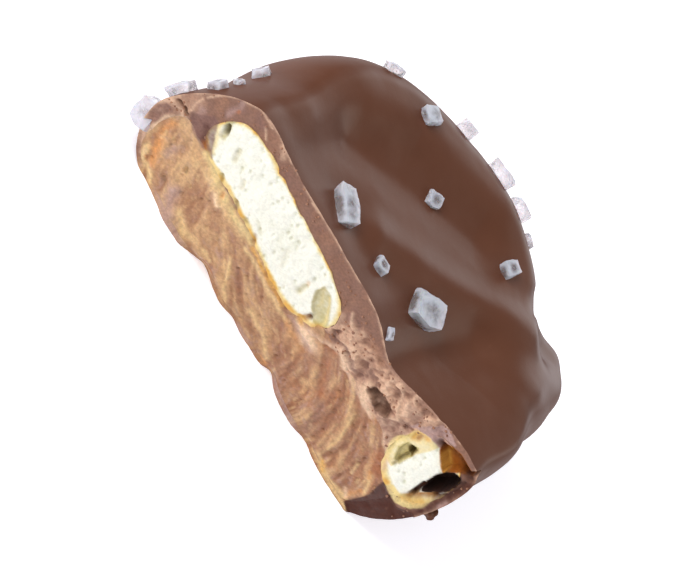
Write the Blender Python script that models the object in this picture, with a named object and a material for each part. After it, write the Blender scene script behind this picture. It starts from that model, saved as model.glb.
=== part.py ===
"""Half of a chocolate covered pretzel, cut through and lying on its flat base.

Three pieces make it. A pretzel rope runs round inside the half as one loop and shows
twice on the cut. It is pressed into a thick slab of caramel. Milk chocolate coats both,
fills the middle of the loop, and carries coarse salt crystals that are fused to it.

The shape is set out from the middle of the cut: X runs along the cut, Y goes from the
cut into the body, Z goes up from the base. ORIGIN then moves it so that the part's
origin is at the middle of its base.
"""

import math

import bmesh
import bpy
import numpy as np
from mathutils import Euler, Matrix, Vector
from mathutils.bvhtree import BVHTree

MM = 0.001


def mm(*values):
    """Millimetres as metres."""
    return tuple(value * MM for value in values)


# ---- Driving dimensions, in metres from the middle of the cut ----

ORIGIN = Vector(mm(1.06, 16.52, 0.0))

PLATEAU = 18.9 * MM  # height of the top where nothing raises or lowers it
WIDEST = 9.0 * MM  # height at which the wall stands furthest out
SHOULDER_POWER = 2.1
FOOT_POWER = 1.7
FLOOR = 0.6 * MM  # chocolate under the caramel
CLEARANCE = 0.3 * MM  # between two pieces that touch

# Discs whose smooth union is the plan outline: x, y, radius.
LOBES = {
    "cut": mm(0.25, -7.5, 28.25),
    "back_left": mm(-4.0, 11.2, 18.7),
    "back": mm(4.4, 10.1, 22.2),
    "right": mm(14.3, 9.2, 14.5),
    "back_right": mm(23.5, 18.8, 6.2),
    "corner": mm(24.8, 23.9, 4.3),
}
LOBE_BLEND = 1.2 * MM
POLE = mm(8.0, 8.0)  # inside every level of the outline, and sees all of it

# Strokes: a path of x and y, half width, and what it adds along its middle.
RELIEF = {
    "over_long_section": (((-21.0, -1.5), (1.0, -1.5)), 6.0, 1.5),
    "over_left_bend": (((-20.5, 0.0), (-19.5, 4.0)), 4.5, 0.9),
    "over_short_section": (((22.5, -3.0), (23.0, 8.0), (21.5, 13.0)), 6.2, 1.8),
    "over_back_rope": (((-18.0, 8.0), (-15.0, 16.0), (-8.0, 22.5), (6.0, 26.0)), 3.4, 0.8),
    "slanting_ridge": (((-2.0, 7.0), (6.0, 11.5), (13.0, 15.6), (18.5, 20.0)), 2.7, 1.1),
    "slanting_hollow": (((-12.0, 12.0), (-3.0, 16.5), (6.0, 21.5)), 3.0, -1.1),
    "hollow_from_cut": (((9.3, -3.0), (11.5, 4.0), (15.0, 11.5)), 3.3, -1.4),
    "corner_lobe": (((25.0, 24.5), (29.0, 27.0)), 5.0, -2.0),
    "notch": (((22.0, 28.0), (21.0, 23.0)), 2.4, -1.7),
}
SHOULDER_WIDTH = 5.0  # how far in from the wall the top's rounding reaches
SHOULDER_STROKES = {
    "right_end": (((28.0, -6.0), (29.0, 6.0)), 6.0, -1.8),
    "left_end": (((-28.0, -6.0), (-27.0, 2.0)), 6.0, 1.2),
    "corner": (((26.0, 21.5), (29.0, 27.0)), 6.0, 3.0),
}
FOOT_WIDTH = 2.6  # how far the wall tucks in at the base
FOOT_STROKES = {
    "left_end": (((-30.0, -4.0), (-27.0, 0.0)), 7.5, 4.6),
    "right_end": (((30.0, -4.0), (29.0, 4.0)), 6.0, 1.6),
}

# The knife's cut is bowed a little: height, waves along X and Z.
CUT_BOW = (0.35 * MM, 0.21 / MM, 0.08 / MM)

# The pretzel rope's middle line and half height, from the long section's open end.
ROPE_PATH = (
    mm(8.5, -9.0, 11.0, 4.0),
    mm(3.2, -4.8, 11.7, 4.2),
    mm(-2.4, -0.7, 12.8, 4.35),
    mm(-9.0, 0.6, 13.8, 4.1),
    mm(-14.2, 1.3, 14.2, 4.2),
    mm(-17.6, 5.2, 14.1, 4.1),
    mm(-17.3, 10.8, 13.8, 4.0),
    mm(-14.4, 16.0, 13.4, 4.0),
    mm(-9.8, 20.5, 13.2, 4.1),
    mm(-3.0, 24.0, 13.0, 4.1),
    mm(5.5, 24.9, 12.9, 4.1),
    mm(13.4, 22.6, 12.8, 4.1),
    mm(19.0, 17.8, 12.9, 4.3),
    mm(22.2, 11.5, 13.2, 4.8),
    mm(22.8, 5.0, 13.4, 5.5),
    mm(22.4, -2.0, 13.5, 5.8),
    mm(22.1, -9.0, 13.5, 5.8),
)
ROPE_HALF_WIDTH = 4.1 * MM
ROPE_LEAN = 0.13  # of the short section, to the left as it goes up
ROPE_POWER = 2.2
ROPE_KNOB = (mm(-17.7, 1.3, 14.4), mm(5.0, 4.3, 4.6))  # fills the left bend's corner
KNOB_POWER = 2.6

CARAMEL_TOP = 10.3 * MM  # under the rope
CARAMEL_RISE = 1.2 * MM  # how much higher it stands inside the loop
CARAMEL_ROUNDING = 1.6 * MM
CARAMEL_MARGINS = (  # height, and the coat's thickness round the slab there
    (FLOOR + CLEARANCE, 1.6 * MM),
    mm(1.7, 1.2),
    mm(4.6, 1.8),
)
CARAMEL_MARGIN = 2.4 * MM  # and from there to its top
CARAMEL_STROKES = {"right_end": (((30.0, -6.0), (28.5, 7.0)), 6.0, 1.6)}  # thicker coat there

# Hollows that open at the cut: centre, radii, lean about Y in degrees.
PRETZEL_HOLLOWS = {
    "broken_out_crumb": (mm(24.9, 0.0, 14.4), mm(1.05, 4.8, 3.5), -6.0),
    "open_over_crumb": (mm(23.1, 0.0, 17.3), mm(1.8, 2.6, 1.0), 14.0),
    "bubble_short": (mm(20.4, 0.0, 12.9), mm(0.75, 1.6, 1.6), -16.0),
    "bubble_long_left": (mm(-21.3, 0.0, 15.1), mm(0.8, 1.5, 1.1), 20.0),
    "bubble_long_right": (mm(0.9, 0.0, 12.7), mm(0.8, 1.8, 1.9), -30.0),
}
COAT_HOLLOWS = {"pit_in_chocolate": (mm(13.7, 0.0, 13.4), mm(1.7, 1.1, 0.8), -14.0)}
NICK = {"nick_in_base": (mm(-9.2, 0.0, -0.1), mm(1.5, 2.0, 1.6), 0.0)}

# Salt crystals: x, y, z near the surface, then length, width, height, spin in degrees.
SALT = {
    "top_large_left": (-7.3, 4.3, 19.5, 5.2, 2.9, 2.2, -44.0),
    "top_large_right": (7.8, 7.4, 18.9, 4.6, 3.6, 2.4, 30.0),
    "top_small_front": (0.4, 4.4, 19.7, 1.9, 1.7, 1.3, 10.0),
    "top_sunk": (-0.2, 18.9, 17.9, 2.0, 1.8, 1.1, 25.0),
    "top_back_right": (11.5, 22.4, 18.9, 2.5, 1.9, 1.6, 70.0),
    "top_back_left": (-8.0, 23.6, 19.6, 2.6, 2.2, 1.3, 60.0),
    "top_at_cut": (7.0, 1.0, 18.9, 1.5, 1.0, 0.8, -44.0),
    "shoulder_left": (-14.0, 24.5, 17.4, 2.6, 1.7, 1.4, 20.0),
    "rim_back_a": (-3.1, 29.4, 17.4, 2.9, 2.3, 2.3, 80.0),
    "rim_back_b": (3.2, 29.8, 18.0, 3.6, 2.2, 2.1, -15.0),
    "rim_back_c": (7.7, 29.8, 17.8, 3.0, 2.2, 2.0, -20.0),
    "rim_back_d": (11.2, 29.0, 17.4, 1.6, 1.4, 1.1, 30.0),
    "rim_back_low": (-11.5, 28.2, 8.0, 2.7, 2.2, 1.6, 40.0),
    "wall_left_foot": (-25.9, 1.9, 4.0, 3.6, 3.2, 2.8, 20.0),
    "wall_left_middle": (-26.2, 2.6, 9.4, 3.4, 2.6, 1.9, 12.0),
    "wall_left_high": (-25.5, 2.6, 14.3, 2.4, 1.6, 1.3, -8.0),
    "wall_left_thin": (-24.2, 5.5, 14.6, 1.8, 1.1, 0.9, -30.0),
    "wall_left_top": (-23.4, 10.5, 13.6, 2.1, 1.5, 1.4, 35.0),
    "wall_back": (5.5, 32.3, 6.5, 2.6, 2.0, 1.5, 25.0),
    "wall_right_low": (29.2, 14.0, 6.5, 2.4, 1.9, 1.4, 0.0),
    "notch": (19.4, 27.4, 8.5, 2.4, 1.8, 1.5, 30.0),
}
CRUMBS = {"crumb_at_cut": (27.3, 1.4, 11.6, 1.9, 1.6, 1.7, 30.0)}
SALT_RAGGED = 0.3  # how far a crystal's corners are broken back
SALT_SUNK = 0.3  # share of its height inside the chocolate
SALT_SEED = 20

SEGMENTS = 112
WALL_RINGS = 5
SHOULDER_RINGS = 6
PLATEAU_SHARES = (0.92, 0.84, 0.76, 0.68, 0.60, 0.52, 0.44, 0.35, 0.26, 0.16, 0.07)
ROPE_STEPS = 4
ROPE_SIDES = 20

MILK_CHOCOLATE = ("milk_chocolate", (0.150, 0.070, 0.042, 1.0), 0.38)
CARAMEL = ("caramel", (0.350, 0.160, 0.065, 1.0), 0.45)
BAKED_PRETZEL = ("baked_pretzel", (0.720, 0.560, 0.330, 1.0), 0.80)


# ---- Formulas of the shape ----


def strokes(x, y, table):
    """What a table's strokes add at x and y, in metres."""
    total = 0.0 * x
    for path, half_width, amount in table.values():
        nearest = np.full_like(total, 1.0)
        for (x0, y0), (x1, y1) in zip(path, path[1:]):
            across, up = (x1 - x0) * MM, (y1 - y0) * MM
            share = (x - x0 * MM) * across + (y - y0 * MM) * up
            share = np.clip(share / (across**2 + up**2), 0.0, 1.0)
            distance = np.hypot(x - x0 * MM - share * across, y - y0 * MM - share * up)
            nearest = np.minimum(nearest, distance)
        total = total + amount * MM * np.exp(-((nearest / (half_width * MM)) ** 2))
    return total


def outline_distance(x, y, lobes=tuple(LOBES)):
    """Distance outside the plan outline of some lobes, negative inside it."""
    total = 0.0
    for centre_x, centre_y, radius in (LOBES[lobe] for lobe in lobes):
        distance = np.hypot(x - centre_x, y - centre_y) - radius
        total = total + np.exp(-distance / LOBE_BLEND)
    return -LOBE_BLEND * np.log(total)


def coat_top(x, y):
    """Height of the top away from the shoulder."""
    return PLATEAU + strokes(x, y, RELIEF)


def shoulder_width(x, y):
    """How far the top's rounding reaches in from the wall."""
    return SHOULDER_WIDTH * MM + strokes(x, y, SHOULDER_STROKES)


def foot_inset(x, y, z):
    """How far the wall stands in from its widest level at a height below that."""
    down = np.clip((WIDEST - z) / WIDEST, 0.0, 1.0)
    width = FOOT_WIDTH * MM + strokes(x, y, FOOT_STROKES)
    return width * (1.0 - (1.0 - down**FOOT_POWER) ** (1.0 / FOOT_POWER))


def caramel_top(x, y):
    """Height of the slab: low under the rope, and pushed up inside the loop."""
    share = np.clip((-outline_distance(x, y) - 6.0 * MM) / (4.0 * MM), 0.0, 1.0)
    rightwards = np.clip((x + 2.0 * MM) / (6.0 * MM), 0.0, 1.0)
    right_end = np.clip((x - 17.0 * MM) / (8.0 * MM), 0.0, 1.0)
    return CARAMEL_TOP + CARAMEL_RISE * share * rightwards - 2.0 * MM * right_end


def cut_depth(x, z):
    """How far the knife's face lies behind the flat plane of the cut."""
    height, along, up = CUT_BOW
    return height * np.sin(along * x + 0.6) * np.cos(up * z)


def rim(angles, lobes=tuple(LOBES)):
    """How far the outline of some lobes lies from the pole at these angles."""
    low = np.zeros_like(angles)
    high = np.full_like(angles, 60.0 * MM)
    for _ in range(40):
        middle = 0.5 * (low + high)
        inside = outline_distance(*from_pole(angles, middle), lobes) < 0.0
        low = np.where(inside, middle, low)
        high = np.where(inside, high, middle)
    return low


def from_pole(angles, distance):
    """Points at these angles and this far from the pole."""
    return POLE[0] + distance * np.cos(angles), POLE[1] + distance * np.sin(angles)


def evened(values, share):
    """Values round a ring, evened out over this share of it each way."""
    reach = int(len(values) * share)
    return sum(np.roll(values, step) for step in range(-reach, reach + 1)) / (2 * reach + 1)


def slant(angles, edge):
    """How much longer a way in from the edge is towards the pole than straight in."""
    around = 0.5 * (np.roll(edge, -1) - np.roll(edge, 1)) / (angles[1] - angles[0])
    return evened(np.hypot(1.0, around / edge), 0.03)


def quarter(rings, power):
    """Steps round a quarter of a superellipse: share across, share up."""
    for ring in range(1, rings + 1):
        angle = 0.5 * math.pi * ring / rings
        across = 1.0 - max(math.cos(angle), 0.0) ** (2.0 / power)
        yield across, math.sin(angle) ** (2.0 / power)


def ring_angles(count):
    """Even angles round the pole."""
    return np.linspace(0.0, 2.0 * math.pi, count, endpoint=False)


# ---- Making meshes ----


def new_object(name, form):
    """An object in the scene made from a bmesh, with its faces turned outwards."""
    bmesh.ops.recalc_face_normals(form, faces=form.faces)
    mesh = bpy.data.meshes.new(name)
    form.to_mesh(mesh)
    form.free()
    made = bpy.data.objects.new(name, mesh)
    bpy.context.scene.collection.objects.link(made)
    return made


def new_material(name, colour, roughness):
    """A Principled material with one colour."""
    material = bpy.data.materials.new(name)
    material.use_nodes = True
    shader = material.node_tree.nodes["Principled BSDF"]
    shader.inputs["Base Color"].default_value = colour
    shader.inputs["Roughness"].default_value = roughness
    return material


def ring_loft(name, rings):
    """A closed form from rings of points, with a point in the middle of each end."""
    form = bmesh.new()
    rows = [[form.verts.new(point) for point in ring] for ring in rings]
    for lower, upper in zip(rows, rows[1:]):
        for here in range(len(lower)):
            after = (here + 1) % len(lower)
            form.faces.new((lower[here], lower[after], upper[after], upper[here]))
    for row in (rows[0], rows[-1]):
        middle = form.verts.new(sum((v.co for v in row), Vector()) / len(row))
        for here in range(len(row)):
            form.faces.new((middle, row[here], row[(here + 1) % len(row)]))
    return new_object(name, form)


def points_at(x, y, z):
    """A ring's points from arrays, where z may be one number."""
    return list(zip(x, y, np.broadcast_to(z, x.shape)))


def coat_body():
    """The whole outer form of the chocolate, before the cut and without hollows."""
    angles = ring_angles(SEGMENTS)
    edge = rim(angles)
    x, y = from_pole(angles, edge)
    rings = []
    for _, down in reversed([(0.0, 0.0), *quarter(WALL_RINGS, FOOT_POWER)]):
        z = WIDEST * (1.0 - down)
        rings.append(points_at(*from_pole(angles, edge - foot_inset(x, y, z)), z))
    width = shoulder_width(x, y) * slant(angles, edge)
    for share, up in quarter(SHOULDER_RINGS, SHOULDER_POWER):
        x, y = from_pole(angles, edge - share * width)
        rings.append(points_at(x, y, WIDEST + (coat_top(x, y) - WIDEST) * up))
    return ring_loft("coat_body", rings + inner_rings(angles, edge - width, coat_top))


def inner_rings(angles, edge, top, every=1):
    """Rings from an edge in to the pole, rounder inwards, on a surface of given height."""
    calm = evened(edge, 0.06)
    rings = []
    for share in PLATEAU_SHARES[::every]:
        distance = share * (calm + (edge - calm) * share**4)
        x, y = from_pole(angles, distance)
        rings.append(points_at(x, y, top(x, y)))
    return rings


def caramel_body(name, grow):
    """The slab of caramel, or the space for it when grow is its clearance."""
    angles = ring_angles(SEGMENTS // 2)
    edge = rim(angles, tuple(lobe for lobe in LOBES if lobe != "corner"))
    x, y = from_pole(angles, edge)
    thicker = strokes(x, y, CARAMEL_STROKES)
    rings = []
    for z, margin in CARAMEL_MARGINS:
        inset = foot_inset(x, y, z) + margin + thicker - grow
        lowered = z - (0.0 if rings else grow)
        rings.append(points_at(*from_pole(angles, edge - inset), lowered))
    for across, up in ((0.0, 0.0), (0.3, 0.7), (1.0, 1.0)):
        inset = CARAMEL_MARGIN + thicker + CARAMEL_ROUNDING * across - grow
        x, y = from_pole(angles, edge - inset)
        lowered = CARAMEL_ROUNDING * (1.0 - up) - grow
        rings.append(points_at(x, y, caramel_top(x, y) - lowered))

    def top(x, y):
        return caramel_top(x, y) + grow

    return ring_loft(name, rings + inner_rings(angles, edge - inset, top, 2))


def smooth_path(points, steps):
    """Points on a smooth curve through the given ones."""
    points = np.array(points)
    padded = np.vstack((2 * points[0] - points[1], points, 2 * points[-1] - points[-2]))
    made = []
    for a, b, c, d in zip(padded, padded[1:], padded[2:], padded[3:]):
        for t in np.arange(steps) / steps:
            bend = (2 * a - 5 * b + 4 * c - d) * t**2 + (3 * b - a - 3 * c + d) * t**3
            made.append(0.5 * (2 * b + (c - a) * t + bend))
    return np.array(made + [points[-1]])


def rope(name, grow=0.0):
    """The pretzel's rope, swept along its path, or the space for it."""
    path = smooth_path(ROPE_PATH, ROPE_STEPS)
    along = np.gradient(path[:, :2], axis=0)
    along /= np.linalg.norm(along, axis=1)[:, None]
    angles = ring_angles(ROPE_SIDES)
    side = np.sign(np.cos(angles)) * np.abs(np.cos(angles)) ** (2.0 / ROPE_POWER)
    lift = np.sign(np.sin(angles)) * np.abs(np.sin(angles)) ** (2.0 / ROPE_POWER)
    rings = []
    for (x, y, z, half_height), (to_x, to_y) in zip(path, along):
        across = (ROPE_HALF_WIDTH + grow) * side
        up = (half_height + grow) * lift
        lean = ROPE_LEAN * np.clip((x - 15.0 * MM) / (6.0 * MM), 0.0, 1.0)
        lean = lean * np.clip((13.0 * MM - y) / (8.0 * MM), 0.0, 1.0)
        rings.append(points_at(x + to_y * across - lean * up, y - to_x * across, z + up))
    made = ring_loft(name, rings)
    centre, radii = ROPE_KNOB
    radii = [radius + grow for radius in radii]
    join_all(made, [ellipsoid("knob", centre, radii, 0.0, KNOB_POWER)])
    return made


def ellipsoid(name, centre, radii, lean, power=2.0):
    """A rounded form, squarer for a power above two."""
    form = bmesh.new()
    bmesh.ops.create_icosphere(form, subdivisions=2 if power == 2.0 else 3, radius=1.0)
    for vertex in form.verts:
        vertex.co = [math.copysign(abs(v) ** (2.0 / power), v) for v in vertex.co]
    turn = Euler((0.0, math.radians(lean), 0.0)).to_matrix().to_4x4()
    place = Matrix.Translation(centre) @ turn @ Matrix.Diagonal((*radii, 1.0))
    bmesh.ops.transform(form, matrix=place, verts=form.verts)
    return new_object(name, form)


def ellipsoids(table):
    """Every hollow of a table."""
    return [ellipsoid(name, *hollow) for name, hollow in table.items()]


def knife_block():
    """All that the knife took away: a block whose back face is the cut."""
    form = bmesh.new()
    left, right, floor, ceiling = mm(-45.0, 45.0, -6.0, 32.0)
    bmesh.ops.create_grid(form, x_segments=30, y_segments=6, size=0.5)
    for vertex in form.verts:
        x = left + (right - left) * (vertex.co.x + 0.5)
        z = floor + (ceiling - floor) * (vertex.co.y + 0.5)
        vertex.co = (x, cut_depth(x, z), z)
    made = bmesh.ops.extrude_face_region(form, geom=form.faces[:])
    for vertex in made["geom"]:
        if isinstance(vertex, bmesh.types.BMVert):
            vertex.co.y = -45.0 * MM
    return new_object("knife_block", form)


# ---- Booleans ----


def apply_modifiers(target):
    """Makes the object's modifiers part of its mesh."""
    graph = bpy.context.evaluated_depsgraph_get()
    mesh = bpy.data.meshes.new_from_object(target.evaluated_get(graph))
    target.modifiers.clear()
    target.data = mesh


def cut_away(target, *cutters):
    """Cuts each cutter out of the target, and removes the cutters."""
    for cutter in cutters:
        boolean = target.modifiers.new(cutter.name, "BOOLEAN")
        boolean.operation = "DIFFERENCE"
        boolean.solver = "EXACT"
        boolean.object = cutter
    apply_modifiers(target)
    for cutter in cutters:
        bpy.data.objects.remove(cutter)


def join_all(target, members):
    """Fuses every object of a collection to the target, and removes them."""
    group = bpy.data.collections.new("to_join")
    bpy.context.scene.collection.children.link(group)
    for member in members:
        group.objects.link(member)
    boolean = target.modifiers.new("join", "BOOLEAN")
    boolean.operation = "UNION"
    boolean.solver = "EXACT"
    boolean.operand_type = "COLLECTION"
    boolean.collection = group
    apply_modifiers(target)
    for member in members:
        bpy.data.objects.remove(member)
    bpy.data.collections.remove(group)


# ---- Pieces ----


def crystal(name, sides, draw):
    """One broken crystal, standing on Z = 0 with its longest side along X."""
    form = bmesh.new()
    for corner in np.ndindex(2, 2, 2):
        signs = np.where(np.array(corner) > 0, 1.0, -1.0)
        for axis in range(3):
            shares = signs * (1.0 - 0.25 * SALT_RAGGED * draw.random(3))
            shares[axis] *= 1.0 - SALT_RAGGED * (0.4 + 0.6 * draw.random())
            form.verts.new(0.5 * MM * np.array(sides) * shares)
    hull = bmesh.ops.convex_hull(form, input=form.verts)
    unused = [v for v in hull["geom_interior"] if isinstance(v, bmesh.types.BMVert)]
    bmesh.ops.delete(form, geom=unused, context="VERTS")
    bmesh.ops.translate(form, verts=form.verts, vec=(0.0, 0.0, 0.5 * sides[2] * MM))
    return new_object(name, form)


def surface_frame(spot, normal, spin):
    """A placing that stands Z on a surface, with X along it or up it."""
    along = Vector((1, 0, 0)) if abs(normal.x) < 0.7 else Vector((0, 0, 1))
    side = (along - along.dot(normal) * normal).normalized()
    turn = Matrix((side, normal.cross(side), normal)).transposed().to_4x4()
    return Matrix.Translation(spot) @ turn @ Matrix.Rotation(math.radians(spin), 4, "Z")


def crystals(body):
    """Every crystal and crumb, set on the body's surface and sunk a little into it."""
    surface = BVHTree.FromObject(body, bpy.context.evaluated_depsgraph_get())
    draw = np.random.default_rng(SALT_SEED)
    made = []
    for name, (x, y, z, *sides, spin) in {**SALT, **CRUMBS}.items():
        piece = crystal("salt_" + name, sides, draw)
        spot, normal, _, _ = surface.find_nearest(Vector(mm(x, y, z)))
        sunk = Vector((0.0, 0.0, -SALT_SUNK * sides[2] * MM))
        place = surface_frame(spot, normal, spin)
        piece.data.transform(place @ Matrix.Translation(sunk))
        made.append(piece)
    return made


def pretzel():
    """The loop of pretzel rope, with the hollows that the cut opened."""
    made = rope("pretzel")
    cut_away(made, knife_block(), *ellipsoids(PRETZEL_HOLLOWS))
    return made


def caramel_layer():
    """The slab of caramel that the rope is pressed into."""
    made = caramel_body("caramel_layer", 0.0)
    cut_away(made, rope("rope_space", CLEARANCE), knife_block(), *ellipsoids(NICK))
    return made


def chocolate_coat():
    """The chocolate round the rope and the slab, with its salt."""
    made = coat_body()
    made.name = "chocolate_coat"
    join_all(made, crystals(made))
    cut_away(made, rope("rope_space", CLEARANCE), caramel_body("slab_space", CLEARANCE))
    cut_away(made, knife_block(), *ellipsoids(COAT_HOLLOWS | NICK))
    return made


def finish(piece, material):
    """Moves a piece to the part's origin, and gives it its material and smooth faces."""
    piece.data.transform(Matrix.Translation(-ORIGIN))
    piece.data.materials.clear()
    piece.data.materials.append(new_material(*material))
    piece.data.shade_smooth()
    piece.data.set_sharp_from_angle(angle=math.radians(32.0))


def main():
    for old in list(bpy.data.objects):
        bpy.data.objects.remove(old)
    finish(chocolate_coat(), MILK_CHOCOLATE)
    finish(caramel_layer(), CARAMEL)
    finish(pretzel(), BAKED_PRETZEL)


main()
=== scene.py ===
"""Looks of one cut half of a chocolate covered pretzel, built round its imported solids.

Three main pieces replace the three solids: the milk chocolate coat, the slab of caramel
and the loop of pretzel rope. Each is cut by a knife whose face has that food's own
texture. Salt crystals lie on the coat, and crumbs on the cut.

Shapes are worked out in millimetres from the middle of the cut: X along the cut, Y into
the body, Z up from the base. They move to the part's own frame when a mesh is made.
"""

import logging
import math
from collections.abc import Iterator, Mapping
from dataclasses import dataclass, field
from enum import Enum
from typing import Any

import bpy
import numpy as np
from bpy.types import ID, Material, Mesh, Modifier, Node, NodeSocket, NodeTree, Object
from mathutils import Matrix, Vector
from mathutils.bvhtree import BVHTree


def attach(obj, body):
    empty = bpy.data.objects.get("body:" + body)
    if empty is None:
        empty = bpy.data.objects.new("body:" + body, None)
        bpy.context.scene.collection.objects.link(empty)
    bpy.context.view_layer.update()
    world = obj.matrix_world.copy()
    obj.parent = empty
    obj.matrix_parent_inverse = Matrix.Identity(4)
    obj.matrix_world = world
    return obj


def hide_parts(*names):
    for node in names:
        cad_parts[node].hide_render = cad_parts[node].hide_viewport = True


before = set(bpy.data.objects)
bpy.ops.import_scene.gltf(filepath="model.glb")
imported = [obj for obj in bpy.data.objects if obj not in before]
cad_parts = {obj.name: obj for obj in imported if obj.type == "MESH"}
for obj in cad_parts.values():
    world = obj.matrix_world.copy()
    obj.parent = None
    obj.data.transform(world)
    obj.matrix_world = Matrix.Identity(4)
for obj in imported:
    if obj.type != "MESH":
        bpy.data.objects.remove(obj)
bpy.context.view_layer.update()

LOG = logging.getLogger("pretzel_half")
Array = np.ndarray
Pair = tuple[float, float]
Triple = tuple[float, float, float]
Path = tuple[Pair, ...]
Waves = tuple[Triple, ...]  # height, width and shift of each, in millimetres
Table = Mapping[str, tuple[Path, float, float]]  # path, half width, amount

MM = 0.001
FULL_TURN = 6.28  # radians, the most that a loose crumb is turned about an axis
CRUMB_CHIP_DEPTH = 0.09 * MM  # of the chips in a loose crumb
CRUMB_CHIP_MM = 0.12  # width of these chips
CREASE_ANGLE = math.radians(50.0)  # edges of the cut that bend more are shaded as edges
DOUGH_WAVES: Waves = ((0.16, 2.2, 71.0), (0.13, 0.8, 13.0))
ORIGIN = np.array((1.06, 16.52, 0.0))  # of the part, in millimetres from the cut's middle
BODY = "root"


def srgb(red: float, green: float, blue: float) -> Triple:
    """A colour of 0 to 255 as the eye sees it, as the linear numbers that light uses."""
    return tuple(
        c / 12.92 if c <= 0.04045 else ((c + 0.055) / 1.055) ** 2.4
        for c in (red / 255.0, green / 255.0, blue / 255.0)
    )


class Tint(Enum):
    """Colours of the foods where the knife laid them open, with some that are painted shade in cracks,
    crevices and hollows.
    """

    CUT_CHOCOLATE = srgb(126, 90, 74)
    CHIPPED = srgb(190, 150, 124)
    HOLLOWED = srgb(138, 100, 82)
    PALE_EDGE = srgb(212, 176, 148)
    # laid over deep chips of broken chocolate as painted shade; also the loose crumbs' darker brown
    GREY_PINK = srgb(172, 140, 132)
    MAUVE = srgb(118, 84, 76)
    # the dark chocolate of the coat, and also painted shade in the filling's deepest crevice
    DARK_CHOCOLATE_AND_SHADE = srgb(70, 28, 12)
    # painted shade inside cracks
    CRACK_SHADE = srgb(66, 36, 25)
    SMEARED = srgb(152, 108, 82)
    CARAMEL = srgb(172, 129, 90)
    DRAGGED = srgb(138, 88, 58)
    TAN = srgb(200, 161, 115)
    STRAW = srgb(228, 194, 138)
    ORANGE = srgb(206, 140, 76)
    RUSSET = srgb(160, 94, 54)
    PEACH = srgb(240, 208, 174)
    CRUMB = srgb(231, 230, 217)
    # the crumb greyed as painted shade, laid where it lies deeper
    CRUMB_SHADE = srgb(212, 211, 190)
    OLIVE = srgb(176, 160, 92)
    DARK_OLIVE = srgb(96, 76, 30)
    CRUST_CREAM = srgb(224, 202, 138)
    CRUST_GOLD = srgb(214, 160, 70)
    BAKED = srgb(146, 80, 12)
    # dark burnt crust, and also painted shade at the top and sides of the short section's hollow
    SCORCHED_AND_SHADE = srgb(62, 28, 12)
    # painted shade: near black, laid inside the short section's deep hollow
    CAVITY_SHADE = srgb(38, 18, 10)


# ---------------------------------------------------------------- noise and strokes


class Grain:
    """Noise in space that is the same on every run."""

    SIDE = 32

    def __init__(self, seed: int) -> None:
        """Fills the lattices.

        Args:
            seed: picks the noise.
        """
        draw = np.random.default_rng(seed)
        self.lattice = draw.uniform(-1.0, 1.0, (self.SIDE,) * 3)
        self.spots = draw.random((self.SIDE, self.SIDE, self.SIDE, 6))

    def lumps(self, points: Array, size: float) -> Array:
        """Smooth lumps.

        Args:
            points: places, one a row.
            size: width of a lump, in the places' own unit.

        Returns:
            Numbers from -1 to 1, one a place.
        """
        places = np.asarray(points) / size
        cell = np.floor(places).astype(int)
        share = places - cell
        share = share**3 * (share * (share * 6.0 - 15.0) + 10.0)
        total = 0.0
        for corner in np.ndindex(2, 2, 2):
            weight = np.prod(np.where(corner, share, 1.0 - share), axis=-1)
            total = total + weight * self.lattice[tuple(((cell + corner) % self.SIDE).T)]
        return total

    def layers(self, points: Array, size: float, count: int = 4, fall: float = 0.5) -> Array:
        """Lumps with finer lumps on them.

        Args:
            points: places, one a row.
            size: width of the largest lumps.
            count: how many sizes, each half the last.
            fall: height of each size against the last.

        Returns:
            Numbers of about -1 to 1, one a place.
        """
        total, reach = 0.0, 0.0
        for layer in range(count):
            height = fall**layer
            moved = np.asarray(points) + 7.3 * layer
            total = total + height * self.lumps(moved, size / 2.0**layer)
            reach += height
        return total / reach

    def chips(
        self, points: Array, size: float, tilt: float = 0.6, crisp: float = 9.0
    ) -> tuple[Array, Array]:
        """Broken facets: cells that each have a height and a tilt of their own.

        Args:
            points: places, one a row.
            size: width of a facet.
            tilt: how far a facet leans.
            crisp: how hard the edges between facets are.

        Returns:
            Heights of about -1 to 1, and how near a place is to its facet's middle.
        """
        places = np.asarray(points) / size
        cell = np.floor(places).astype(int)
        best = np.full(len(places), 9.0)
        height, weights = np.zeros(len(places)), np.full(len(places), 1e-9)
        for step in np.ndindex(3, 3, 3):
            there = cell + np.array(step) - 1
            spot = self.spots[tuple((there % self.SIDE).T)]
            apart = places - there - spot[:, :3]
            square = (apart**2).sum(axis=1)
            lean = (apart * (spot[:, 3:] - 0.5)).sum(axis=1) * 4.0 * tilt
            weight = np.exp(-crisp * square)
            height += weight * (2.0 * spot[:, 3] - 1.0 + lean)
            weights += weight
            best = np.minimum(best, square)
        return height / weights, np.sqrt(best)


GRAIN = Grain(11)


def wave_heights(points: Array, waves: Waves) -> Array:
    """What some waves add up to at some places, in millimetres."""
    return sum(height * GRAIN.lumps(points + shift, width) for height, width, shift in waves)


def flat_points(across: Array, up: Array, layer: float = 0.0) -> Array:
    """Places on the cut's plane, one a row, for noise."""
    return np.stack((across, np.full_like(across, layer), up), axis=1)


def off_path(across: Array, up: Array, path: Path) -> Array:
    """Distance from places to a path of straight stretches.

    Args:
        across: first coordinates of the places.
        up: second coordinates.
        path: the path's points, one for a dot.

    Returns:
        Distances, one a place.
    """
    nearest = np.full_like(across, 1e3)
    ends = zip(path, path[1:]) if len(path) > 1 else ((path[0], path[0]),)
    for (x0, y0), (x1, y1) in ends:
        along, rise = x1 - x0, y1 - y0
        share = (across - x0) * along + (up - y0) * rise
        share = np.clip(share / max(along**2 + rise**2, 1e-9), 0.0, 1.0)
        nearest = np.minimum(nearest, np.hypot(across - x0 - share * along, up - y0 - share * rise))
    return nearest


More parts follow.
